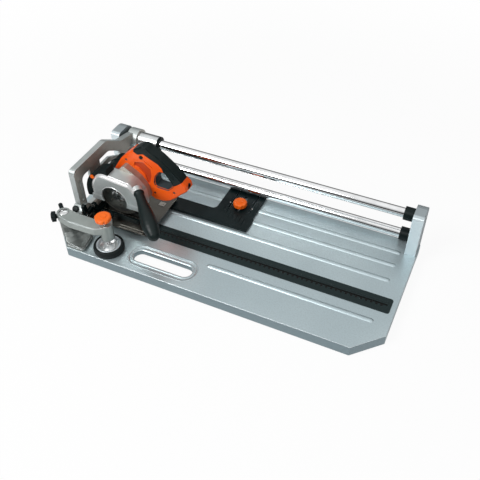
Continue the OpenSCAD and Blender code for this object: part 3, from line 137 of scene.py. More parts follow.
# %% A material under construction
class Finish:
    """A material whose nodes are made one at a time."""

    def __init__(self, name, **values):
        self.material = bpy.data.materials.new(name)
        self.material.use_nodes = True
        self.tree = self.material.node_tree
        self.shader = self.tree.nodes["Principled BSDF"]
        for key, value in values.items():
            self.shader.inputs[key.replace("_", " ")].default_value = value

    def node(self, kind, settings, inputs, output=0):
        """Any node: its settings first, then its sockets by number or name."""
        made = self.tree.nodes.new("ShaderNode" + kind)
        for key, value in settings.items():
            setattr(made, key, value)
        for key, value in inputs.items():
            feed(self.tree, made.inputs[key], value)
        return Wire(self.tree, made.outputs[output])

    def place(self):
        """Where a point is on the object, in metres."""
        return self.node("TexCoord", {}, {}, "Object")

    def axes(self, place=None):
        """The x, y and z of a place as three wires."""
        place = place or self.place()
        made = self.tree.nodes.new("ShaderNodeSeparateXYZ")
        feed(self.tree, made.inputs[0], place)
        return [Wire(self.tree, made.outputs[i]) for i in range(3)]

    def noise(self, scale, detail=2.0, stretch=None):
        """Cloudy values from 0 to 1; a stretch of (1, 20, 20) draws it along x."""
        place = self.place()
        if stretch:
            place = self.node("Mapping", {}, {0: place, 3: stretch})
        return self.node("TexNoise", {}, {0: place, "Scale": scale, "Detail": detail})

    def ramp(self, value, low, high):
        """0 where the value is at most low, 1 from high on, smooth between."""
        return self.node("MapRange", {"interpolation_type": "SMOOTHSTEP"},
                         {0: value, 1: low, 2: high, 3: 0.0, 4: 1.0})

    def mix(self, factor, first, second):
        """A colour between two colours."""
        return self.node("Mix", {"data_type": "RGBA"}, {0: factor, 6: first, 7: second}, 2)

    def rounded(self, radius):
        """Normals as if every sharp edge had this radius."""
        return self.node("Bevel", {"samples": 6}, {"Radius": radius})

    def edges(self, rounding):
        """1 along the edges that the rounding softens, 0 on the flats."""
        flat = self.node("NewGeometry", {}, {}, "Normal")
        level = self.node("VectorMath", {"operation": "DOT_PRODUCT"},
                          {0: rounding, 1: flat}, "Value")
        return self.ramp(1.0 - level, 0.015, 0.22)

    def bump(self, height, depth, strength=1.0, under=None):
        """Normals of a surface raised by a height of 0 to 1 times a depth."""
        inputs = {"Height": height, "Distance": depth, "Strength": strength}
        if under is not None:
            inputs["Normal"] = under
        return self.node("Bump", {}, inputs)

    def set(self, **links):
        """Links values to the sockets of the main shader."""
        for key, value in links.items():
            feed(self.tree, self.shader.inputs[key.replace("_", " ")], value)
        return self.material


def tone(red, green, blue):
    """A colour as the eye reads it, 0 to 255, turned into the shader's numbers."""
    level = [c / 255 for c in (red, green, blue)]
    return [c / 12.92 if c < 0.04045 else ((c + 0.055) / 1.055) ** 2.4 for c in level] + [1]


print("shader tools are ready")

# %% [markdown]
# ## Floor
# The cutter stands on a plain white floor that runs out of sight. The floor
# looks white by itself to the camera, and still takes a soft shadow. In mirrors
# it is white only near the cutter, because chrome needs something dark to
# mirror. A studio would lay black card out of sight. Here the floor's glow fades
# with the distance, which leaves no card to hide.

# %% Floor
NEAR, FAR = 0.8, 1.9
NEAR_DIMMED, FAR_DIMMED = 0.2, 0.94
floor_finish = Finish("floor_white", Base_Color=(0.9, 0.9, 0.9, 1), Roughness=0.9)
floor_tree = floor_finish.tree
seen = floor_finish.node("LightPath", {}, {}, "Is Camera Ray")
mirrored = floor_finish.node("LightPath", {}, {}, "Is Glossy Ray")
through = floor_finish.node("LightPath", {}, {}, "Is Transmission Ray")
glow = floor_tree.nodes.new("ShaderNodeEmission")
floor_x, floor_y = floor_finish.axes()[:2]
far = floor_finish.ramp((floor_x * floor_x + floor_y * floor_y) ** 0.5, NEAR, FAR)
dimmed = mirrored * (NEAR_DIMMED + far * (FAR_DIMMED - NEAR_DIMMED))
feed(floor_tree, glow.inputs["Color"], floor_finish.mix(dimmed, (1, 1, 1, 1), (0, 0, 0, 1)))
blend = floor_tree.nodes.new("ShaderNodeMixShader")
GLOWING = 0.93
feed(floor_tree, blend.inputs[0],
     (seen + through + mirrored) * (GLOWING + far * (1 - GLOWING)))
floor_tree.links.new(floor_finish.shader.outputs[0], blend.inputs[1])
floor_tree.links.new(glow.outputs[0], blend.inputs[2])
floor_tree.links.new(blend.outputs[0], floor_tree.nodes["Material Output"].inputs[0])
bpy.ops.object.select_all(action="DESELECT")
bpy.ops.mesh.primitive_plane_add(size=30, location=(0, 0, -0.0005))
floor = bpy.context.object
floor.name = "floor"
floor.data.materials.append(floor_finish.material)
print("floor", round(floor.dimensions.x), "m wide")

# %% [markdown]
# ## Sky
# The camera sees a plain white sky. Mirrors see one that is white overhead and
# dark near the horizon, as in a studio with a ceiling of light. A painted dome
# could stand round the scene, but a ramp over the height of the direction says
# the same in one line and can be tuned.

# %% Sky
SKY = 0.48
LOW, HIGH = 0.20, 0.94
DARKEST = 0.05
world = bpy.data.worlds.new("sky")
bpy.context.scene.world = world
world.use_nodes = True
sky_tree = world.node_tree
sky = sky_tree.nodes["Background"]
sky.inputs["Color"].default_value = (1, 1, 1, 1)
path = sky_tree.nodes.new("ShaderNodeLightPath")
seen_sky = Wire(sky_tree, path.outputs["Is Camera Ray"])
mirrored_sky = Wire(sky_tree, path.outputs["Is Glossy Ray"])
glass_sky = Wire(sky_tree, path.outputs["Is Transmission Ray"])
towards = sky_tree.nodes.new("ShaderNodeTexCoord")
split = sky_tree.nodes.new("ShaderNodeSeparateXYZ")
sky_tree.links.new(towards.outputs["Generated"], split.inputs[0])
climb = sky_tree.nodes.new("ShaderNodeMapRange")
climb.interpolation_type = "SMOOTHSTEP"
feed(sky_tree, climb.inputs[0], Wire(sky_tree, split.outputs[2]))
for place, value in enumerate((LOW, HIGH, DARKEST, 1.0), start=1):
    climb.inputs[place].default_value = value
ceiling = Wire(sky_tree, climb.outputs[0])
plain = seen_sky + glass_sky
feed(sky_tree, sky.inputs["Strength"],
     plain + (1 - plain) * (ceiling * mirrored_sky + ceiling * SKY * (1 - mirrored_sky)))
print("sky strength", SKY, "overhead")

# %% [markdown]
# ## Lamps
# A wide lamp on the left gives the soft shadows, and a weak one on the right
# fills them. Wide lamps are used and no spots, because a pressed sheet looks
# its best under a soft light that slides along its folds.


# %% Lamps
TABLE_MIDDLE = Vector((0, 0, 0.05))


def lamp(name, place, size, power):
    """A soft square lamp at a place, turned to the middle of the table."""
    light = bpy.data.lights.new(name, "AREA")
    light.shape = "SQUARE"
    light.size = size
    light.energy = power
    made = bpy.data.objects.new(name, light)
    bpy.context.scene.collection.objects.link(made)
    made.location = place
    made.rotation_euler = (TABLE_MIDDLE - Vector(place)).to_track_quat("-Z", "Y").to_euler()
    print(name, "lamp of", power, "W")


lamp("key", (-1.3, -2.0, 2.4), size=1.5, power=78)
lamp("fill", (2.2, -1.4, 1.8), size=1.8, power=12)
bpy.context.scene.view_settings.view_transform = "Standard"

# %% [markdown]
# ## Coated sheet
# The table is steel sheet with a silver coat. Its surface is not quite flat, so
# reflections waver, and a fine grain breaks them up. The folds get a painted
# highlight, and the upright faces a painted shade. The folds could be painted
# by hand. Here the Bevel node finds them, and it finds them again when a size
# changes.


# %% Coated sheet
BACK_STRIP = (0.128, 0.140)


def coated_sheet(name, colour, shade, side, roughness=0.34, metallic=0.62):
    """Silver coat on pressed steel: painted highlight on folds, painted shade on upright sides,
    a rough back strip.
    """
    f = Finish(name, Metallic=metallic)
    soft = f.rounded(0.0022)
    edge = f.edges(soft)
    cloud = f.noise(4.0, 3.0)
    speck = f.noise(330.0, 2.0)
    grain = f.noise(1400.0, 2.0)
    base = f.mix(f.ramp(cloud, 0.3, 0.7), colour, shade)
    base = f.mix(f.ramp(speck, 0.40, 0.70) * 0.42, base, [c * 0.68 for c in colour[:3]] + [1])
    upright_shade = 1 - f.ramp(abs(f.axes(f.node("NewGeometry", {}, {}, "True Normal"))[2]), 0.25, 0.6)
    back = f.ramp(f.axes()[1], *BACK_STRIP)
    # Painted shade: upright faces are mixed towards the darker side colour.
    base = f.mix(upright_shade * 0.85, base, side)
    # Painted highlight: the folds are mixed towards near-white.
    base = f.mix(edge * 0.9, base, tone(246, 252, 254))
    rough = roughness + (cloud - 0.5) * 0.12 + (speck - 0.5) * 0.12 + back * 0.14
    return f.set(Base_Color=base, Roughness=rough,
                 Normal=f.bump(grain, 0.00008, 0.4, soft))


# %% [markdown]
# ## Cast metal
# The castings are coarser and duller than the sheet. Their flanks are rougher
# and get a painted shade, faces that look up can get a painted shade too, and
# edges and bevels get a painted highlight; the bevels are also smoother. Which
# way a face looks tells which it is, so one finish serves every casting and no
# face has to be marked.


# %% Cast metal
def cast_metal(name, colour, shade, flank_shade=None, crown_shade=None, bevel=None, roughness=0.42,
               metallic=0.6, radius=0.0015):
    """A casting; painted shade on flanks (along x) and crowns (up), painted highlight on
    smoother bevels.
    """
    f = Finish(name, Metallic=metallic)
    soft = f.rounded(radius)
    edge = f.edges(soft)
    patch = f.noise(18.0, 4.0)
    sand = f.noise(900.0, 3.0)
    base = f.mix(f.ramp(patch, 0.35, 0.7), colour, shade)
    rough = roughness + (sand - 0.5) * 0.25
    along, across, up = f.axes(f.node("NewGeometry", {}, {}, "True Normal"))
    if flank_shade:
        side = f.ramp(abs(along), 0.75, 0.9)
        # Painted shade on the faces that look along x; they are also rougher.
        base = f.mix(side * (0.75 + patch * 0.4), base, flank_shade)
        rough = rough + side * 0.12
    if crown_shade:
        # Painted shade on the faces that look up.
        base = f.mix(f.ramp(up, 0.7, 0.95), base, crown_shade)
    if bevel:
        slope = f.ramp(0 - across, 0.40, 0.50) * (1 - f.ramp(0 - across, 0.88, 0.95))
        # Painted highlight on the bevel, which is also smoother.
        base = f.mix(slope * 0.95, base, bevel)
        rough = rough - slope * 0.1
    # Painted highlight along the edges.
    base = f.mix(edge * 0.65, base, tone(226, 232, 234))
    return f.set(Base_Color=base, Roughness=rough, Normal=f.bump(sand, 0.00014, 0.5, soft))


# %% [markdown]
# ## Machined and chromed metal
# The rails are chromed tubes, and screws, pins and flanges are turned steel. A
# tool leaves fine marks along one direction. Noise that is drawn out along that
# direction makes them, and varies the gloss more than the colour.


# %% Machined and chromed metal
def bright_metal(name, colour, roughness=0.12, draw=(1, 60, 60), radius=0.0006):
    """Turned or ground metal, with fine marks along one direction."""
    f = Finish(name, Metallic=1.0)
    soft = f.rounded(radius)
    marks = f.noise(240.0, 2.0, draw)
    spots = f.noise(35.0, 3.0)
    base = f.mix(f.ramp(spots, 0.35, 0.75), colour, [c * 0.86 for c in colour[:3]] + [1])
    rough = roughness + (marks - 0.5) * 0.12
    return f.set(Base_Color=base, Roughness=rough,
                 Normal=f.bump(marks, 0.00002, 0.3, soft))


print("metal finishes are ready")

# %% [markdown]
# ## The cutting disc
# A disc for tiles is ground steel with a sintered rim of grit. The rim is matt
# and sandy, the rest shows fine rings from the grinding wheel. Both follow the
# distance from the arbor, which the shader works out from two coordinates. The
# rings turn with the disc, because Object coordinates belong to the piece.

# %% Disc finish
ARBOR = Vector((-0.293, -0.048, 0.114))
GRIT = (0.0515, 0.0525)


def ground_disc(name, steel, grit):
    """Rings round the arbor, and a band of grit from 52 mm outwards."""
    f = Finish(name, Metallic=0.9)
    x, _, z = f.axes()
    away = ((x - ARBOR.x) ** 2 + (z - ARBOR.z) ** 2) ** 0.5
    rim = f.ramp(away, *GRIT)
    rings = f.node("TexNoise", {"noise_dimensions": "1D"}, {"W": away, "Scale": 2600.0})
    sand = f.noise(1500.0, 3.0)
    base = f.mix(rings * 0.6, steel, [c * 0.6 for c in steel[:3]] + [1])
    base = f.mix(rim * (0.6 + sand * 0.6), base, grit)
    rough = 0.28 + rings * 0.1 + rim * (0.25 + sand * 0.15)
    soft = f.rounded(0.0004)
    return f.set(Base_Color=base, Roughness=rough,
                 Normal=f.bump(rings * (1 - rim) + sand * rim * 3, 0.00004, 0.5, soft))


print("the arbor is", round(ARBOR.z * 1000), "mm above the ground")

# %% [markdown]
# ## Moulded plastic
# Knobs, covers and the fence are moulded with a fine spark-eroded texture, and
# get a painted highlight on their corners. Black only looks black when it
# mirrors little, so the black finishes have a low specular level.


# %% Moulded plastic
def moulded(name, colour, shade, roughness=0.4, radius=0.002, grain_depth=0.00008,
            coat=0.0, gloss=0.5):
    """Moulded plastic with a fine texture and a painted highlight on the corners."""
    f = Finish(name, Metallic=0.0, Coat_Weight=coat, Coat_Roughness=0.25,
               Specular_IOR_Level=gloss)
    soft = f.rounded(radius)
    edge = f.edges(soft)
    cloud = f.noise(22.0, 3.0)
    grain = f.noise(1600.0, 2.0)
    base = f.mix(f.ramp(cloud, 0.3, 0.75), colour, shade)
    # Painted highlight: the corners are mixed towards a lighter colour.
    corner_highlight = [min(1, c * 1.3 + 0.01) for c in colour[:3]] + [1]
    base = f.mix(edge * 0.5, base, corner_highlight)
    rough = roughness + (cloud - 0.5) * 0.1 + (grain - 0.5) * 0.12
    return f.set(Base_Color=base, Roughness=rough,
                 Normal=f.bump(grain, grain_depth, 0.5, soft))


# %% [markdown]
# ## Housing plastic
# The orange housing has a panel that is sunk below its face. The panel is
# rougher and gets a painted shade, and the edges get a painted highlight. The
# panel is already a hollow in the shape. The finish only has to know its depth
# and that it faces the front.


# %% Housing plastic with its sunk panel
PANEL_FROM = (-0.00932, -0.00912)
PANEL_TO = (0.0086, 0.0088)


def housing_plastic(name, colour, shade, panel):
    """Orange moulding whose sunk panel, 3 mm behind the face, is matt with a painted shade."""
    f = Finish(name, Metallic=0.0, Coat_Weight=0.08, Coat_Roughness=0.2, Specular_IOR_Level=0.3)
    soft = f.rounded(0.0022)
    edge = f.edges(soft)
    depth = f.axes()[1]
    facing = f.axes(f.node("NewGeometry", {}, {}, "True Normal"))[1]
    sunk = f.ramp(depth, *PANEL_FROM) * f.ramp(0 - depth, *PANEL_TO)
    sunk = sunk * f.ramp(0 - facing, 0.9, 0.97)
    cloud = f.noise(22.0, 3.0)
    grain = f.noise(1600.0, 2.0)
    base = f.mix(f.ramp(cloud, 0.3, 0.75), colour, shade)
    # Painted highlight along the edges.
    base = f.mix(edge * 0.45, base, [min(1, c * 1.25 + 0.01) for c in colour[:3]] + [1])
    # Painted shade in the sunk panel, which faces the front.
    base = f.mix(sunk * 0.9, base, panel)
    rough = 0.36 + (cloud - 0.5) * 0.1 + (grain - 0.5) * 0.12 + sunk * 0.25
    return f.set(Base_Color=base, Roughness=rough,
                 Normal=f.bump(grain, 0.00008, 0.5, soft))


# %% [markdown]
# ## Plastic of the kerf insert
# The insert is a black strip that the disc runs along. Its notches and its
# groove lie below its face and get a near-black painted shade, and its edges a
# painted highlight. A limit on the height finds the notches and the groove, and
# saves cutting the strip into faces of two materials.


# %% Plastic of the kerf insert
INSERT_FACE = (0.0302, 0.0306)


def insert_plastic(name, colour, deep_shade):
    """Black moulding with painted shade in the notches and groove below its face, painted
    highlight on its edges.
    """
    f = Finish(name, Metallic=0.0, Specular_IOR_Level=0.2)
    soft = f.rounded(0.0007)
    edge = f.edges(soft)
    grain = f.noise(1600.0, 2.0)
    sunk = 1 - f.ramp(f.axes()[2], *INSERT_FACE)
    # Painted highlight along the edges.
    base = f.mix(edge * 0.6, colour, tone(78, 96, 98))
    # Painted shade, near black, in the notches and the groove.
    base = f.mix(sunk, base, deep_shade)
    return f.set(Base_Color=base, Roughness=0.42 + (grain - 0.5) * 0.15,
                 Normal=f.bump(grain, 0.00008, 0.5, soft))


# %% [markdown]
# ## Rubber
# The grip, the side handle and the clamp's tyre are rubber: dull, full of fine
# pores, and dusty along the edges. The dust is a noise that only counts where
# the edge mask is high, so it never lies on the flats.


# %% Rubber
def rubber(name, colour, roughness=0.5, gloss=0.25):
    """Black rubber with dusty edges."""
    f = Finish(name, Metallic=0.0, Specular_IOR_Level=gloss)
    soft = f.rounded(0.0015)
    edge = f.edges(soft)
    dust = f.noise(60.0, 4.0)
    pore = f.noise(1100.0, 3.0)
    grey = [c + 0.03 for c in colour[:3]] + [1]
    base = f.mix(edge * f.ramp(dust, 0.3, 0.7) * 0.7, colour, grey)
    return f.set(Base_Color=base, Roughness=roughness + (dust - 0.5) * 0.2,
                 Normal=f.bump(pore, 0.00015, 0.5, soft))


print("plastic finishes are ready")

# %% [markdown]
# ## The finishes of this cutter
# Each recipe is now mixed with this object's own colours. Every finish has one
# name, so that pieces which are added later can wear it too.

# %% Metal finishes
# The table's third colour is the painted shade of its upright faces.
SILVER = coated_sheet("table_silver", tone(196, 212, 216), tone(182, 198, 203),
                      tone(118, 136, 143))
# The cast grey's third colour is the painted shade of its flanks.
CAST = cast_metal("cast_grey", tone(196, 203, 202), tone(182, 189, 188), tone(190, 186, 178))
RING = cast_metal("ring_silver", tone(206, 214, 218), tone(194, 203, 208))
# The bracket's third colour is painted shade on its flanks, its fourth painted shade on its top.
BRACKET = cast_metal("bracket_silver", tone(232, 244, 248), tone(224, 236, 241),
                     tone(132, 142, 147), tone(176, 187, 191))
ARM = cast_metal("arm_grey", tone(166, 174, 171), tone(152, 160, 157))
FOOT = cast_metal("foot_grey", tone(128, 133, 131), tone(122, 127, 125), roughness=0.36,
                  metallic=0.7, radius=0.0015)
CHROME = bright_metal("rail_chrome", tone(242, 243, 244), 0.08)
STEEL = bright_metal("bright_steel", tone(214, 216, 216), 0.22, (30, 30, 1))
SLEEVE = bright_metal("sleeve_aluminium", tone(226, 230, 231), 0.26)
# The guard's bevel colour is a painted highlight.
GUARD = cast_metal("guard_silver", tone(192, 198, 198), tone(180, 187, 186),
                   bevel=tone(254, 255, 255), roughness=0.36)
GEAR = cast_metal("gear_metal", tone(170, 160, 150), tone(156, 146, 137), roughness=0.36)
SOLE = bright_metal("sole_steel", tone(98, 96, 91), 0.34, (1, 40, 40))
DISH = bright_metal("dish_satin", tone(238, 240, 240), 0.38, (1, 1, 1))
DISC = ground_disc("disc_steel", tone(128, 132, 130), tone(92, 92, 86))
DARK = bright_metal("dark_steel", tone(110, 114, 114), 0.35, (30, 30, 30))
BRONZE = bright_metal("bush_bronze", tone(190, 168, 128), 0.3)
print(len(bpy.data.materials), "materials in the file so far")

# %% Plastic and rubber finishes
# The orange's third colour is the painted shade of the sunk panel.
ORANGE = housing_plastic("orange_plastic", tone(252, 98, 14), tone(246, 88, 10),
                         tone(184, 62, 26))
KNOB = moulded("knob_orange", tone(252, 112, 20), tone(248, 102, 16), 0.33, 0.0012, coat=0.1,
               gloss=0.35)
BLACK = moulded("black_plastic", tone(10, 24, 25), tone(6, 18, 19), 0.42, gloss=0.2)
GRIP = rubber("grip_rubber", tone(12, 26, 26), 0.42, 0.26)
TYRE = rubber("tyre_rubber", tone(18, 26, 27), 0.55, 0.22)
FENCE = moulded("fence_black", tone(10, 26, 28), tone(6, 20, 22), 0.45, 0.0008, gloss=0.18)
NYLON = moulded("nylon_white", tone(226, 226, 218), tone(216, 216, 208), 0.4)
# The insert's second colour is the painted shade of its notches and groove.
INSERT = insert_plastic("insert_black", tone(26, 40, 41), tone(2, 4, 4))
LINING = moulded("lining_grey", tone(60, 68, 72), tone(50, 58, 62), 0.5, gloss=0.25)
print(len(bpy.data.materials), "materials in the file")

# %% [markdown]
# ## Giving each part its finish
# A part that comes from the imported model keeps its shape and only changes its
# material. The table pairs each finish with the nodes that wear it, which is
# easier to check than a line of code for each node.

# %% Which part wears which finish
worn_by = [
    (SILVER, "table_top"),
    (FENCE, "fence_plate"),
    (INSERT, "kerf_insert"),
    (BLACK, "rubber_feet rail_buffers star_knob lock_grip park_knob lock_lever depth_knob "
            "wiper_ring rail_fork hinge_bracket blade_skirt motor_drum dust_chute cable_inlet "
            "lock_button"),
    (LINING, "trigger"),
    (BRACKET, "left_bracket right_bracket"),
    (CHROME, "upper_rail lower_rail"),
    (DARK, "bracket_screws housing_screws arbor_bolt plunge_spring"),
    (ARM, "clamp_arm"),
    (FOOT, "clamp_base"),
    (DISH, "pad_dish"),
    (STEEL, "pivot_bolt clamp_screw fence_stud roller_pin sole_bolts plunge_pin "
            "depth_post arbor_shaft inner_flange outer_flange"),
    (KNOB, "clamp_knob fence_knob chute_cap"),
    (CAST, "gantry_frame"),
    (RING, "pad_ring"),
    (TYRE, "pad_tyre"),
    (SLEEVE, "carriage_sleeve"),
    (BRONZE, "sleeve_bushings"),
    (NYLON, "foot_roller sole_clip"),
    (SOLE, "sole_plate"),
    (GUARD, "upper_guard"),
    (GEAR, "gear_housing"),
    (ORANGE, "housing_front housing_rear"),
    (GRIP, "grip_cover aux_handle"),
    (DISC, "cutting_disc"),
]
for material, names in worn_by:
    for name in names.split():
        nodes[name].data.materials.clear()
        nodes[name].data.materials.append(material)
dressed = " ".join(names for material, names in worn_by).split()
print("without a finish:", [name for name in nodes if name not in dressed])

# %% [markdown]
# ## Modelling by hand, in code
# The small details are modelled as they would be by hand: a primitive is added
# where it belongs, shaped in edit mode and finished with modifiers. A few
# helpers keep that short. `only` selects pieces, because an operator acts on all
# that is selected. `begin` opens a primitive for editing, and `choose` selects
# corners, edges or faces by a test on their middle and their normal, as a hand
# would click on them.


# %% Selecting
def only(active, *others):
    """Selects these pieces and nothing else; operators work on the first."""
    bpy.ops.object.select_all(action="DESELECT")
    for piece in (active, *others):
        piece.select_set(True)
    bpy.context.view_layer.objects.active = active


def begin(name):
    """Names the primitive that was just added and opens it for editing."""
    made = bpy.context.object
    made.name = name
    bpy.ops.object.mode_set(mode="EDIT")
    return made


def choose(made, kind, test):
    """Selects what passes a test on its middle and its normal; returns how many."""
    bpy.ops.mesh.select_mode(type=kind)
    bpy.ops.mesh.select_all(action="DESELECT")
    shape = bmesh.from_edit_mesh(made.data)
    shape.normal_update()
    found = 0
    for item in {"VERT": shape.verts, "EDGE": shape.edges, "FACE": shape.faces}[kind]:
        corners = [item] if kind == "VERT" else item.verts
        middle = sum((v.co for v in corners), Vector()) / len(corners)
        normal = item.normal if kind != "EDGE" else None
        if test(middle, normal):
            item.select_set(True)
            found += 1
    shape.select_flush_mode()
    bmesh.update_edit_mesh(made.data)
    return found


def everything():
    """Selects the whole mesh that is being edited."""
    bpy.ops.mesh.select_all(action="SELECT")


# %% [markdown]
# ## Finishing a piece
# `modify` applies a modifier at once, so that the next step works on real faces.
# `close` ends the editing and puts the piece's place into its mesh, `copies`
# repeats a piece that is modelled once, and `done` gives a piece its finish and
# says what it moves with.


# %% Modifiers and closing
def modify(made, kind, **settings):
    """Adds a modifier and applies it."""
    if bpy.context.mode != "OBJECT":
        bpy.ops.object.mode_set(mode="OBJECT")
    modifier = made.modifiers.new(kind.lower(), kind)
    for key, value in settings.items():
        setattr(modifier, key, value)
    bpy.ops.object.modifier_apply(modifier=modifier.name)


def close(made):
    """Back to object mode, with the piece's place in its mesh."""
    if bpy.context.mode != "OBJECT":
        bpy.ops.object.mode_set(mode="OBJECT")
    only(made)
    bpy.ops.object.transform_apply(location=True, rotation=True, scale=True)


def turned():
    """Puts the turn of the new primitive into its mesh, and leaves it in its place."""
    bpy.ops.object.transform_apply(location=False, rotation=True, scale=False)


# %% Copying and handing over
def copies(made, moves):
    """Copies a closed piece by each move and joins the copies to it."""
    twins = []
    for move in moves:
        only(made)
        bpy.ops.object.duplicate(linked=False)
        bpy.ops.transform.translate(value=move)
        twins.append(bpy.context.object)
        bpy.ops.object.transform_apply(location=True, rotation=False, scale=False)
    only(made, *twins)
    bpy.ops.object.join()


def done(made, finish, body, angle=35):
    """Finish, smooth shading, and the body that the piece moves with."""
    close(made)
    bpy.ops.object.shade_smooth_by_angle(angle=math.radians(angle))
    made.data.materials.clear()
    made.data.materials.append(finish)
    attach(made, body)
    bpy.ops.object.select_all(action="DESELECT")
    print(made.name, "-", len(made.data.polygons), "faces, moves with", body)


bpy.ops.object.select_all(action="DESELECT")
SIDEWAYS = (math.pi / 2, 0, 0)
print("modelling helpers are ready")

# %% [markdown]
# ## Rolled edge of the carry slot
# The slot for carrying the table has a rolled edge, so that it is kind to the
# hand: the sheet rises in a lip and turns down into a wall. A circle is extruded
# inwards step by step, each step with its own radius and height, and the last
# one goes straight down. `draw_section` does that for any list of steps. The lip
# could be a bevel on the table itself, but a piece of its own leaves the table
# alone and takes a section of any shape.


# %% Drawing a section round a circle
def draw_section(centre, first, steps):
    """Extrudes the whole circle to each radius, with a rise at every step."""
    bpy.ops.mesh.select_mode(type="EDGE")
    everything()
    reach = first
    for radius, rise in steps:
        bpy.ops.mesh.extrude_edges_move(TRANSFORM_OT_translate={"value": (0, 0, rise)})
        size = radius / reach
        bpy.ops.transform.resize(value=(size, size, 1), center_override=centre)
        reach = radius
    everything()
    bpy.ops.mesh.normals_make_consistent(inside=False)


def pull_apart(made, half):
    """Moves the two halves of a ring apart, which makes it as long as a slot."""
    for side in (-1, 1):
        choose(made, "VERT", lambda place, normal: place.x * side > 0)
        bpy.ops.transform.translate(value=(side * half, 0, 0))


# %% Slot edge
SLOT = Vector((-0.122, -0.1435, 0.0284))
LIP_RADIUS = 0.0252
LIP = ((0.0244, 0.0006), (0.0234, 0.0005), (0.0222, 0.0002), (0.0208, -0.0003),
       (0.0196, -0.0009), (0.0190, -0.0014), (0.0187, -0.0022), (0.0186, -0.0095))
bpy.ops.mesh.primitive_circle_add(vertices=50, radius=LIP_RADIUS, location=SLOT)
slot_edge = begin("slot_edge")
draw_section(SLOT, LIP_RADIUS, LIP)
pull_apart(slot_edge, half=0.061)
modify(slot_edge, "SOLIDIFY", thickness=0.0007, offset=-1)
done(slot_edge, SILVER, "base", 60)

# %% [markdown]
# ## Pressed ridge round the field
# Where the field round the slot is pressed down, the sheet first rises a little
# and then falls in a soft curve. The same two helpers draw it. The halves are
# moved apart only at the end, because scaling a circle keeps the ridge equally
# wide all round, and scaling a long loop wouldn't.

# %% Field ridge
FIELD = Vector((SLOT.x, SLOT.y, 0.03002))
RIDGE_RADIUS = 0.0362
RIDGE = ((0.0354, 0.0003), (0.0346, 0.00015), (0.0338, -0.0002), (0.0328, -0.0005),
         (0.0316, -0.0006), (0.0302, -0.00045), (0.0288, -0.0001))
bpy.ops.mesh.primitive_circle_add(vertices=50, radius=RIDGE_RADIUS, location=FIELD)
field_ridge = begin("field_ridge")
draw_section(FIELD, RIDGE_RADIUS, RIDGE)
pull_apart(field_ridge, half=0.057)
modify(field_ridge, "SOLIDIFY", thickness=0.0005, offset=-1)
done(field_ridge, SILVER, "base", 60)

# %% [markdown]
# ## Rivets on the fence
# The fence head is held by five small rivets. A rivet is a short cylinder whose
# top is inset twice, a little higher each time, into a dome. Half a sphere would
# do as well, but it has many more faces for the same look.

# %% Fence rivets
OTHER_RIVETS = [(0.0307, 0, 0), (0.0622, 0.001, 0), (0.001, -0.054, 0), (0.0642, -0.055, 0)]
bpy.ops.mesh.primitive_cylinder_add(vertices=20, radius=0.0021, depth=0.0016,
                                    location=(-0.0658, 0.172, 0.0373))
rivet = begin("fence_rivets")
choose(rivet, "FACE", lambda place, normal: normal.z > 0.9)
bpy.ops.mesh.inset(thickness=0.0005, depth=0.0004)
bpy.ops.mesh.inset(thickness=0.0007, depth=0.0002)
close(rivet)
copies(rivet, OTHER_RIVETS)
done(rivet, STEEL, "fence", 60)

# %% [markdown]
# ## Ribs on the fence
# Raised ribs stiffen the place where the bar joins the fence head. A rib is a
# block with all its edges bevelled. The seven ribs step along the slope of the
# fence, so each copy moves by one more step than the last.

# %% Fence ribs
RIBS = 7
RIB_STEP = Vector((0.011, -0.0045, 0))
bpy.ops.mesh.primitive_cube_add(size=1, location=(-0.070, 0.088, 0.0370),
                                scale=(0.0016, 0.026, 0.0014))
close(bpy.context.object)
rib = begin("fence_ribs")
everything()
bpy.ops.mesh.bevel(offset=0.0005, segments=2)
close(rib)
copies(rib, [RIB_STEP * i for i in range(1, RIBS)])
done(rib, FENCE, "fence")

# %% [markdown]
# ## Caps on the two orange knobs
# A moulded knob has a cap over its nut. Each is a cylinder that starts inside the
# knob, with its rim bevelled and its top inset and sunk into a shallow dish. Two
# knobs need one, so a function makes it.


# %% Knob caps
CAP_DEPTH = 0.003
DISH_DEPTH = 0.0007


def knob_cap(name, place, radius, body):
    """A dished cap whose middle is at a place."""
    bpy.ops.mesh.primitive_cylinder_add(vertices=40, radius=radius, depth=CAP_DEPTH,
                                        location=place)
    cap = begin(name)
    choose(cap, "FACE", lambda spot, normal: normal.z > 0.9)
    bpy.ops.mesh.inset(thickness=radius * 0.32, depth=0)
    bpy.ops.transform.translate(value=(0, 0, -DISH_DEPTH))
    choose(cap, "EDGE", lambda spot, normal: spot.z > CAP_DEPTH / 2 - 0.0001
           and spot.length > radius * 0.95)
    bpy.ops.mesh.bevel(offset=0.0006, segments=3)
    done(cap, KNOB, body)


knob_cap("clamp_knob_cap", (-0.2665, -0.155, 0.1388), 0.0085, "clamp_spindle")
knob_cap("fence_knob_cap", (-0.034, 0.113, 0.0552), 0.0075, "fence_knob")

# %% [markdown]
# ## Thread of the clamp screw
# The clamp screw is threaded over its whole length. A thread is one small
# triangle carried along a helix, which is what the Screw modifier does: it turns
# the triangle about the piece's own axis and lifts it by one pitch each turn. A
# plain shaft stands inside it, and the two together stand for the plain rod.

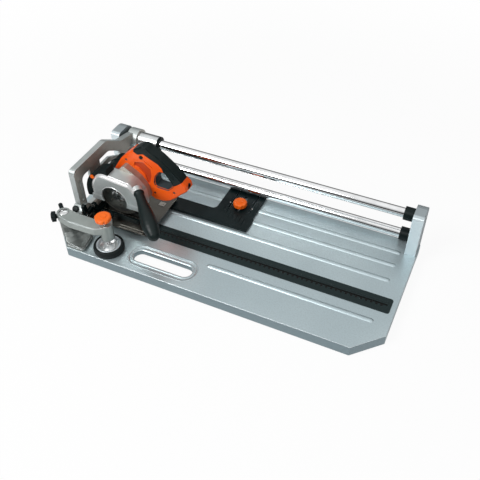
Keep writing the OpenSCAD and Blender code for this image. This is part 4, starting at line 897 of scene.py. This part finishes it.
# %% Clamp thread
SCREW = Vector((-0.2665, -0.155, 0.0404))
PITCH = 0.002
bpy.ops.mesh.primitive_plane_add(size=0.001, location=SCREW, rotation=SIDEWAYS)
turned()
thread = begin("clamp_thread")
everything()
bpy.ops.transform.resize(value=(0.9, 1, 1.7), center_override=SCREW)
bpy.ops.transform.translate(value=(0.00450, 0, 0.0009))
choose(thread, "VERT", lambda place, normal: place.x > 0.0046)
bpy.ops.mesh.merge(type="CENTER")
modify(thread, "SCREW", axis="Z", angle=math.tau, screw_offset=PITCH, iterations=45, steps=18,
       render_steps=18, use_normal_calculate=True)
bpy.ops.object.mode_set(mode="EDIT")
everything()
bpy.ops.mesh.fill_holes(sides=0)
close(thread)
print("thread of", PITCH * 1000, "mm pitch")

# %% Core of the clamp screw
CORE_LENGTH = 0.0926
bpy.ops.object.select_all(action="DESELECT")
bpy.ops.mesh.primitive_cylinder_add(vertices=36, radius=0.0043, depth=CORE_LENGTH,
                                    location=(SCREW.x, SCREW.y, SCREW.z + CORE_LENGTH / 2))
shaft = begin("clamp_shaft")
choose(shaft, "FACE", lambda place, normal: abs(normal.z) > 0.9)
bpy.ops.mesh.bevel(offset=0.0006, segments=2)
close(shaft)
only(thread, shaft)
bpy.ops.object.join()
done(thread, STEEL, "clamp_spindle")
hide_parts("clamp_screw")

# %% [markdown]
# ## Plunge spring
# A coil spring stands between the sole and the gear housing and lifts the saw
# when the hand lets go. Its end coils lie closed and the coils between stand
# open. Each run is a small circle that the Screw modifier winds round the
# spring's axis, at the wire's own thickness a turn for the ends and wider for
# the middle. The runs are welded where their circles meet. The spring shortens
# as the saw comes down.

# %% Winding a run of coils
SPRING = Vector((-0.330, -0.023, 0.0445))
COIL = 0.006
WIRE = 0.001
END_PITCH = 0.00205
OPEN_PITCH = 0.009025
OPEN_COILS = 4


def wind(turns, pitch, rise):
    """A run of coils whose first circle stands at a rise above the sole."""
    bpy.ops.object.select_all(action="DESELECT")
    bpy.ops.mesh.primitive_circle_add(vertices=12, radius=WIRE, rotation=SIDEWAYS,
                                      location=(SPRING.x, SPRING.y, SPRING.z + rise))
    turned()
    run = begin("coils")
    everything()
    bpy.ops.transform.translate(value=(COIL, 0, 0))
    modify(run, "SCREW", axis="Z", angle=math.tau, screw_offset=pitch, iterations=turns,
           steps=24, render_steps=24, use_merge_vertices=False)
    close(run)
    return run


runs = [wind(1, END_PITCH, WIRE), wind(OPEN_COILS, OPEN_PITCH, WIRE + END_PITCH),
        wind(1, END_PITCH, WIRE + END_PITCH + OPEN_COILS * OPEN_PITCH)]
print(len(runs), "runs of coils")

# %% Plunge spring
only(*runs)
bpy.ops.object.join()
spring = begin("coil_spring")
everything()
bpy.ops.mesh.remove_doubles(threshold=0.00002)
bpy.ops.mesh.fill_holes(sides=0)
bpy.ops.mesh.normals_make_consistent(inside=False)
done(spring, DARK, "carriage", 60)
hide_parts("plunge_spring")
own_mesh(spring)
top = max(v.co.z for v in spring.data.vertices)
print("spring from", SPRING.z, "to", round(top, 5))

# %% [markdown]
# ## Rim round the guard's window
# The window in the guard's cover has a rounded rim. A torus lies round the
# window, and its back half is flattened into the cover, so that the rim grows
# out of the metal and doesn't look like a ring laid on it. The cover is cut off
# below the window's middle, so the lower part of the ring is deleted.

# %% Window rim
COVER = Vector((ARBOR.x, -0.0700, ARBOR.z))
bpy.ops.mesh.primitive_torus_add(location=COVER, rotation=SIDEWAYS, major_segments=72,
                                 minor_segments=12, major_radius=0.0372, minor_radius=0.0013)
turned()
rim = begin("window_rim")
choose(rim, "VERT", lambda place, normal: place.y > 0.0003)
bpy.ops.transform.resize(value=(1, 0.3, 1), center_override=COVER)
choose(rim, "VERT", lambda place, normal: place.z < -0.0145)
bpy.ops.mesh.delete(type="VERT")
everything()
bpy.ops.mesh.fill_holes(sides=0)
done(rim, GUARD, "saw", 60)

# %% [markdown]
# ## Apron under the guard
# The guard's cover reaches a little lower than the casting and ends in a
# straight edge, so that its window is a circle cut off at the bottom. The apron
# is a flat block with bevelled ends, and a cylinder cuts the window out of it: a
# Boolean gives a clean arc that drawing the outline by hand would not.

# %% Guard apron
APRON = Vector((-0.2875, -0.0684, 0.1055))
APRON_SIZE = Vector((0.143, 0.0034, 0.0150))
LOWEST = APRON.z - APRON_SIZE.z / 2
FRONT = APRON.y - APRON_SIZE.y / 2


def at_an_end(place):
    """On the left or the right end of the apron."""
    return abs(abs(place.x - APRON.x) - APRON_SIZE.x / 2) < 0.0001


bpy.ops.mesh.primitive_cube_add(size=1, location=APRON, scale=APRON_SIZE)
close(bpy.context.object)
apron = begin("guard_apron")
choose(apron, "EDGE", lambda place, normal: at_an_end(place) and abs(place.z - LOWEST) < 0.0001)
bpy.ops.mesh.bevel(offset=0.005, segments=4)
choose(apron, "EDGE", lambda place, normal: at_an_end(place) and abs(place.y - FRONT) < 0.0001)
bpy.ops.mesh.bevel(offset=0.003, segments=2)
close(apron)
print("apron down to", round(LOWEST * 1000), "mm")

# %% Window in the apron
WINDOW_RADIUS = 0.0362
bpy.ops.object.select_all(action="DESELECT")
bpy.ops.mesh.primitive_cylinder_add(vertices=96, radius=WINDOW_RADIUS, depth=0.02,
                                    location=(ARBOR.x, APRON.y, ARBOR.z), rotation=SIDEWAYS)
cutter = bpy.context.object
only(apron)
modify(apron, "BOOLEAN", object=cutter, operation="DIFFERENCE", solver="EXACT")
bpy.data.objects.remove(cutter, do_unlink=True)
done(apron, GUARD, "saw")

# %% [markdown]
# ## Bands on the motor
# Two raised bands stiffen the motor drum. A band is a cylinder without ends,
# thickened by the Solidify modifier, with its outer rims bevelled. A full disc
# would look the same from outside, but the drum would hide most of its faces.

# %% Motor bands
DRUM = Vector((-0.335, -0.012, 0.117))
BAND = Vector((DRUM.x, DRUM.y + 0.008, DRUM.z))
BAND_WIDTH = 0.004
OUTSIDE = 0.037


def outer_rim(place, normal):
    """The edges of the band that can be touched."""
    away = place - BAND
    return (abs(away.y) > BAND_WIDTH / 2 - 0.0001
            and math.hypot(away.x, away.z) > OUTSIDE)


bpy.ops.mesh.primitive_cylinder_add(vertices=64, radius=0.0361, depth=BAND_WIDTH,
                                    end_fill_type="NOTHING", location=BAND,
                                    rotation=SIDEWAYS)
modify(bpy.context.object, "SOLIDIFY", thickness=0.0014, offset=1)
close(bpy.context.object)
band = begin("motor_bands")
choose(band, "EDGE", outer_rim)
bpy.ops.mesh.bevel(offset=0.0005, segments=2)
close(band)
copies(band, [(0, 0.038, 0)])
done(band, BLACK, "saw")

# %% [markdown]
# ## Brush caps on the motor
# A screwed cap closes the hole of a carbon brush. It is a short cylinder with a
# bevelled rim and a slot for the screwdriver: the top is cut twice, and the
# faces between the cuts are pressed in. That keeps the cap in one piece, where a
# Boolean would need a second one.

# %% Brush caps
SLOT_HALF = 0.0007


def flat_top(place, normal):
    """The sunk face of the cap."""
    return normal.z > 0.97 and place.z < 0.0018


bpy.ops.mesh.primitive_cylinder_add(vertices=32, radius=0.0065, depth=0.004,
                                    location=(DRUM.x, DRUM.y + 0.030, DRUM.z + 0.0368))
brush = begin("brush_caps")
choose(brush, "EDGE", lambda place, normal: place.z > 0.0019 and place.length > 0.006)
bpy.ops.mesh.bevel(offset=0.0008, segments=3)
choose(brush, "FACE", lambda place, normal: normal.z > 0.9)
bpy.ops.mesh.inset(thickness=0.0012, depth=-0.0004)
for spot in (-SLOT_HALF, SLOT_HALF):
    choose(brush, "FACE", flat_top)
    bpy.ops.mesh.bisect(plane_co=(DRUM.x + spot, 0, 0), plane_no=(1, 0, 0))
choose(brush, "FACE", lambda place, normal: flat_top(place, normal)
       and abs(place.x) < SLOT_HALF)
bpy.ops.mesh.extrude_region_move(TRANSFORM_OT_translate={"value": (0, 0, -0.0009)})
close(brush)
done(brush, BLACK, "saw")

# %% [markdown]
# ## Louvres on the back of the housing
# Cooling air enters through the back half of the housing, behind a row of
# slanted louvres. One louvre is a block whose upper edge is pulled back to a
# slope, and the rest are copies, each a little further along the housing. An
# Array modifier would do the same; copies are joined at once and leave nothing
# live behind.

# %% Louvres
LOUVRES = 6
LOUVRE = Vector((-0.2735, 0.0203, 0.178))
LOUVRE_SIZE = Vector((0.020, 0.0024, 0.0026))
LOUVRE_STEP = Vector((0.0042, 0, 0.0052))
bpy.ops.mesh.primitive_cube_add(size=1, location=LOUVRE, scale=LOUVRE_SIZE)
close(bpy.context.object)
louvre = begin("housing_louvres")
choose(louvre, "EDGE", lambda place, normal: place.z > LOUVRE.z + LOUVRE_SIZE.z / 2 - 0.0001
       and place.y > LOUVRE.y + LOUVRE_SIZE.y / 2 - 0.0001)
bpy.ops.transform.translate(value=(0, -0.0011, 0))
everything()
bpy.ops.mesh.bevel(offset=0.0003, segments=2)
close(louvre)
copies(louvre, [LOUVRE_STEP * i for i in range(1, LOUVRES)])
done(louvre, ORANGE, "saw")

# %% [markdown]
# ## Lining of the hand opening
# The inside of the handle's opening has a soft grey lining. Its shape is already
# there: it is the wall of the opening in the housing. So the two halves of the
# housing are copied, everything but that wall is deleted from the copy, and the
# rest gets a thickness, as a lining of a real handle is moulded onto it. A new
# shape would have to be fitted to the wall by eye.

# %% Copy of the housing
parts = []
for name in ("housing_front", "housing_rear"):
    twin = nodes[name].copy()
    twin.data = nodes[name].data.copy()
    twin.parent = None
    for key in list(twin.keys()):
        del twin[key]
    bpy.context.scene.collection.objects.link(twin)
    parts.append(twin)
only(*parts)
bpy.ops.object.join()
lining = begin("hand_lining")
bpy.ops.mesh.select_mode(type="VERT")
everything()
bpy.ops.mesh.remove_doubles(threshold=0.00001)
print("copied", len(parts), "halves of the housing")

# %% Hand lining
HAND = Vector((-0.1805, 0, 0.1655))
REACH = 0.032


def in_the_opening(place, normal):
    """Walls that look at the middle of the opening."""
    inward = HAND - place
    inward.y = 0
    near = inward.length < REACH
    return near and abs(normal.y) < 0.3 and normal.dot(inward.normalized()) > 0.25


kept = choose(lining, "FACE", in_the_opening)
bpy.ops.mesh.select_all(action="INVERT")
bpy.ops.mesh.delete(type="FACE")
modify(lining, "SOLIDIFY", thickness=0.0009, offset=1)
print("walls kept:", kept)
done(lining, LINING, "saw")

# %% [markdown]
# ## Washer on the lock lever
# The lever turns on a stud, and a bright domed washer holds it. A cylinder is
# turned onto its side, and its outer face is inset and pulled out twice.

# %% Lever washer
bpy.ops.mesh.primitive_cylinder_add(vertices=28, radius=0.0052, depth=0.0012,
                                    location=(-0.3617, -0.1, 0.061),
                                    rotation=(0, math.pi / 2, 0))
turned()
washer = begin("lever_washer")
choose(washer, "FACE", lambda place, normal: normal.x > 0.9)
bpy.ops.mesh.inset(thickness=0.0012, depth=0.0003)
bpy.ops.mesh.inset(thickness=0.0012, depth=0.0002)
done(washer, STEEL, "carriage", 60)

# %% End
print("end of the scene")
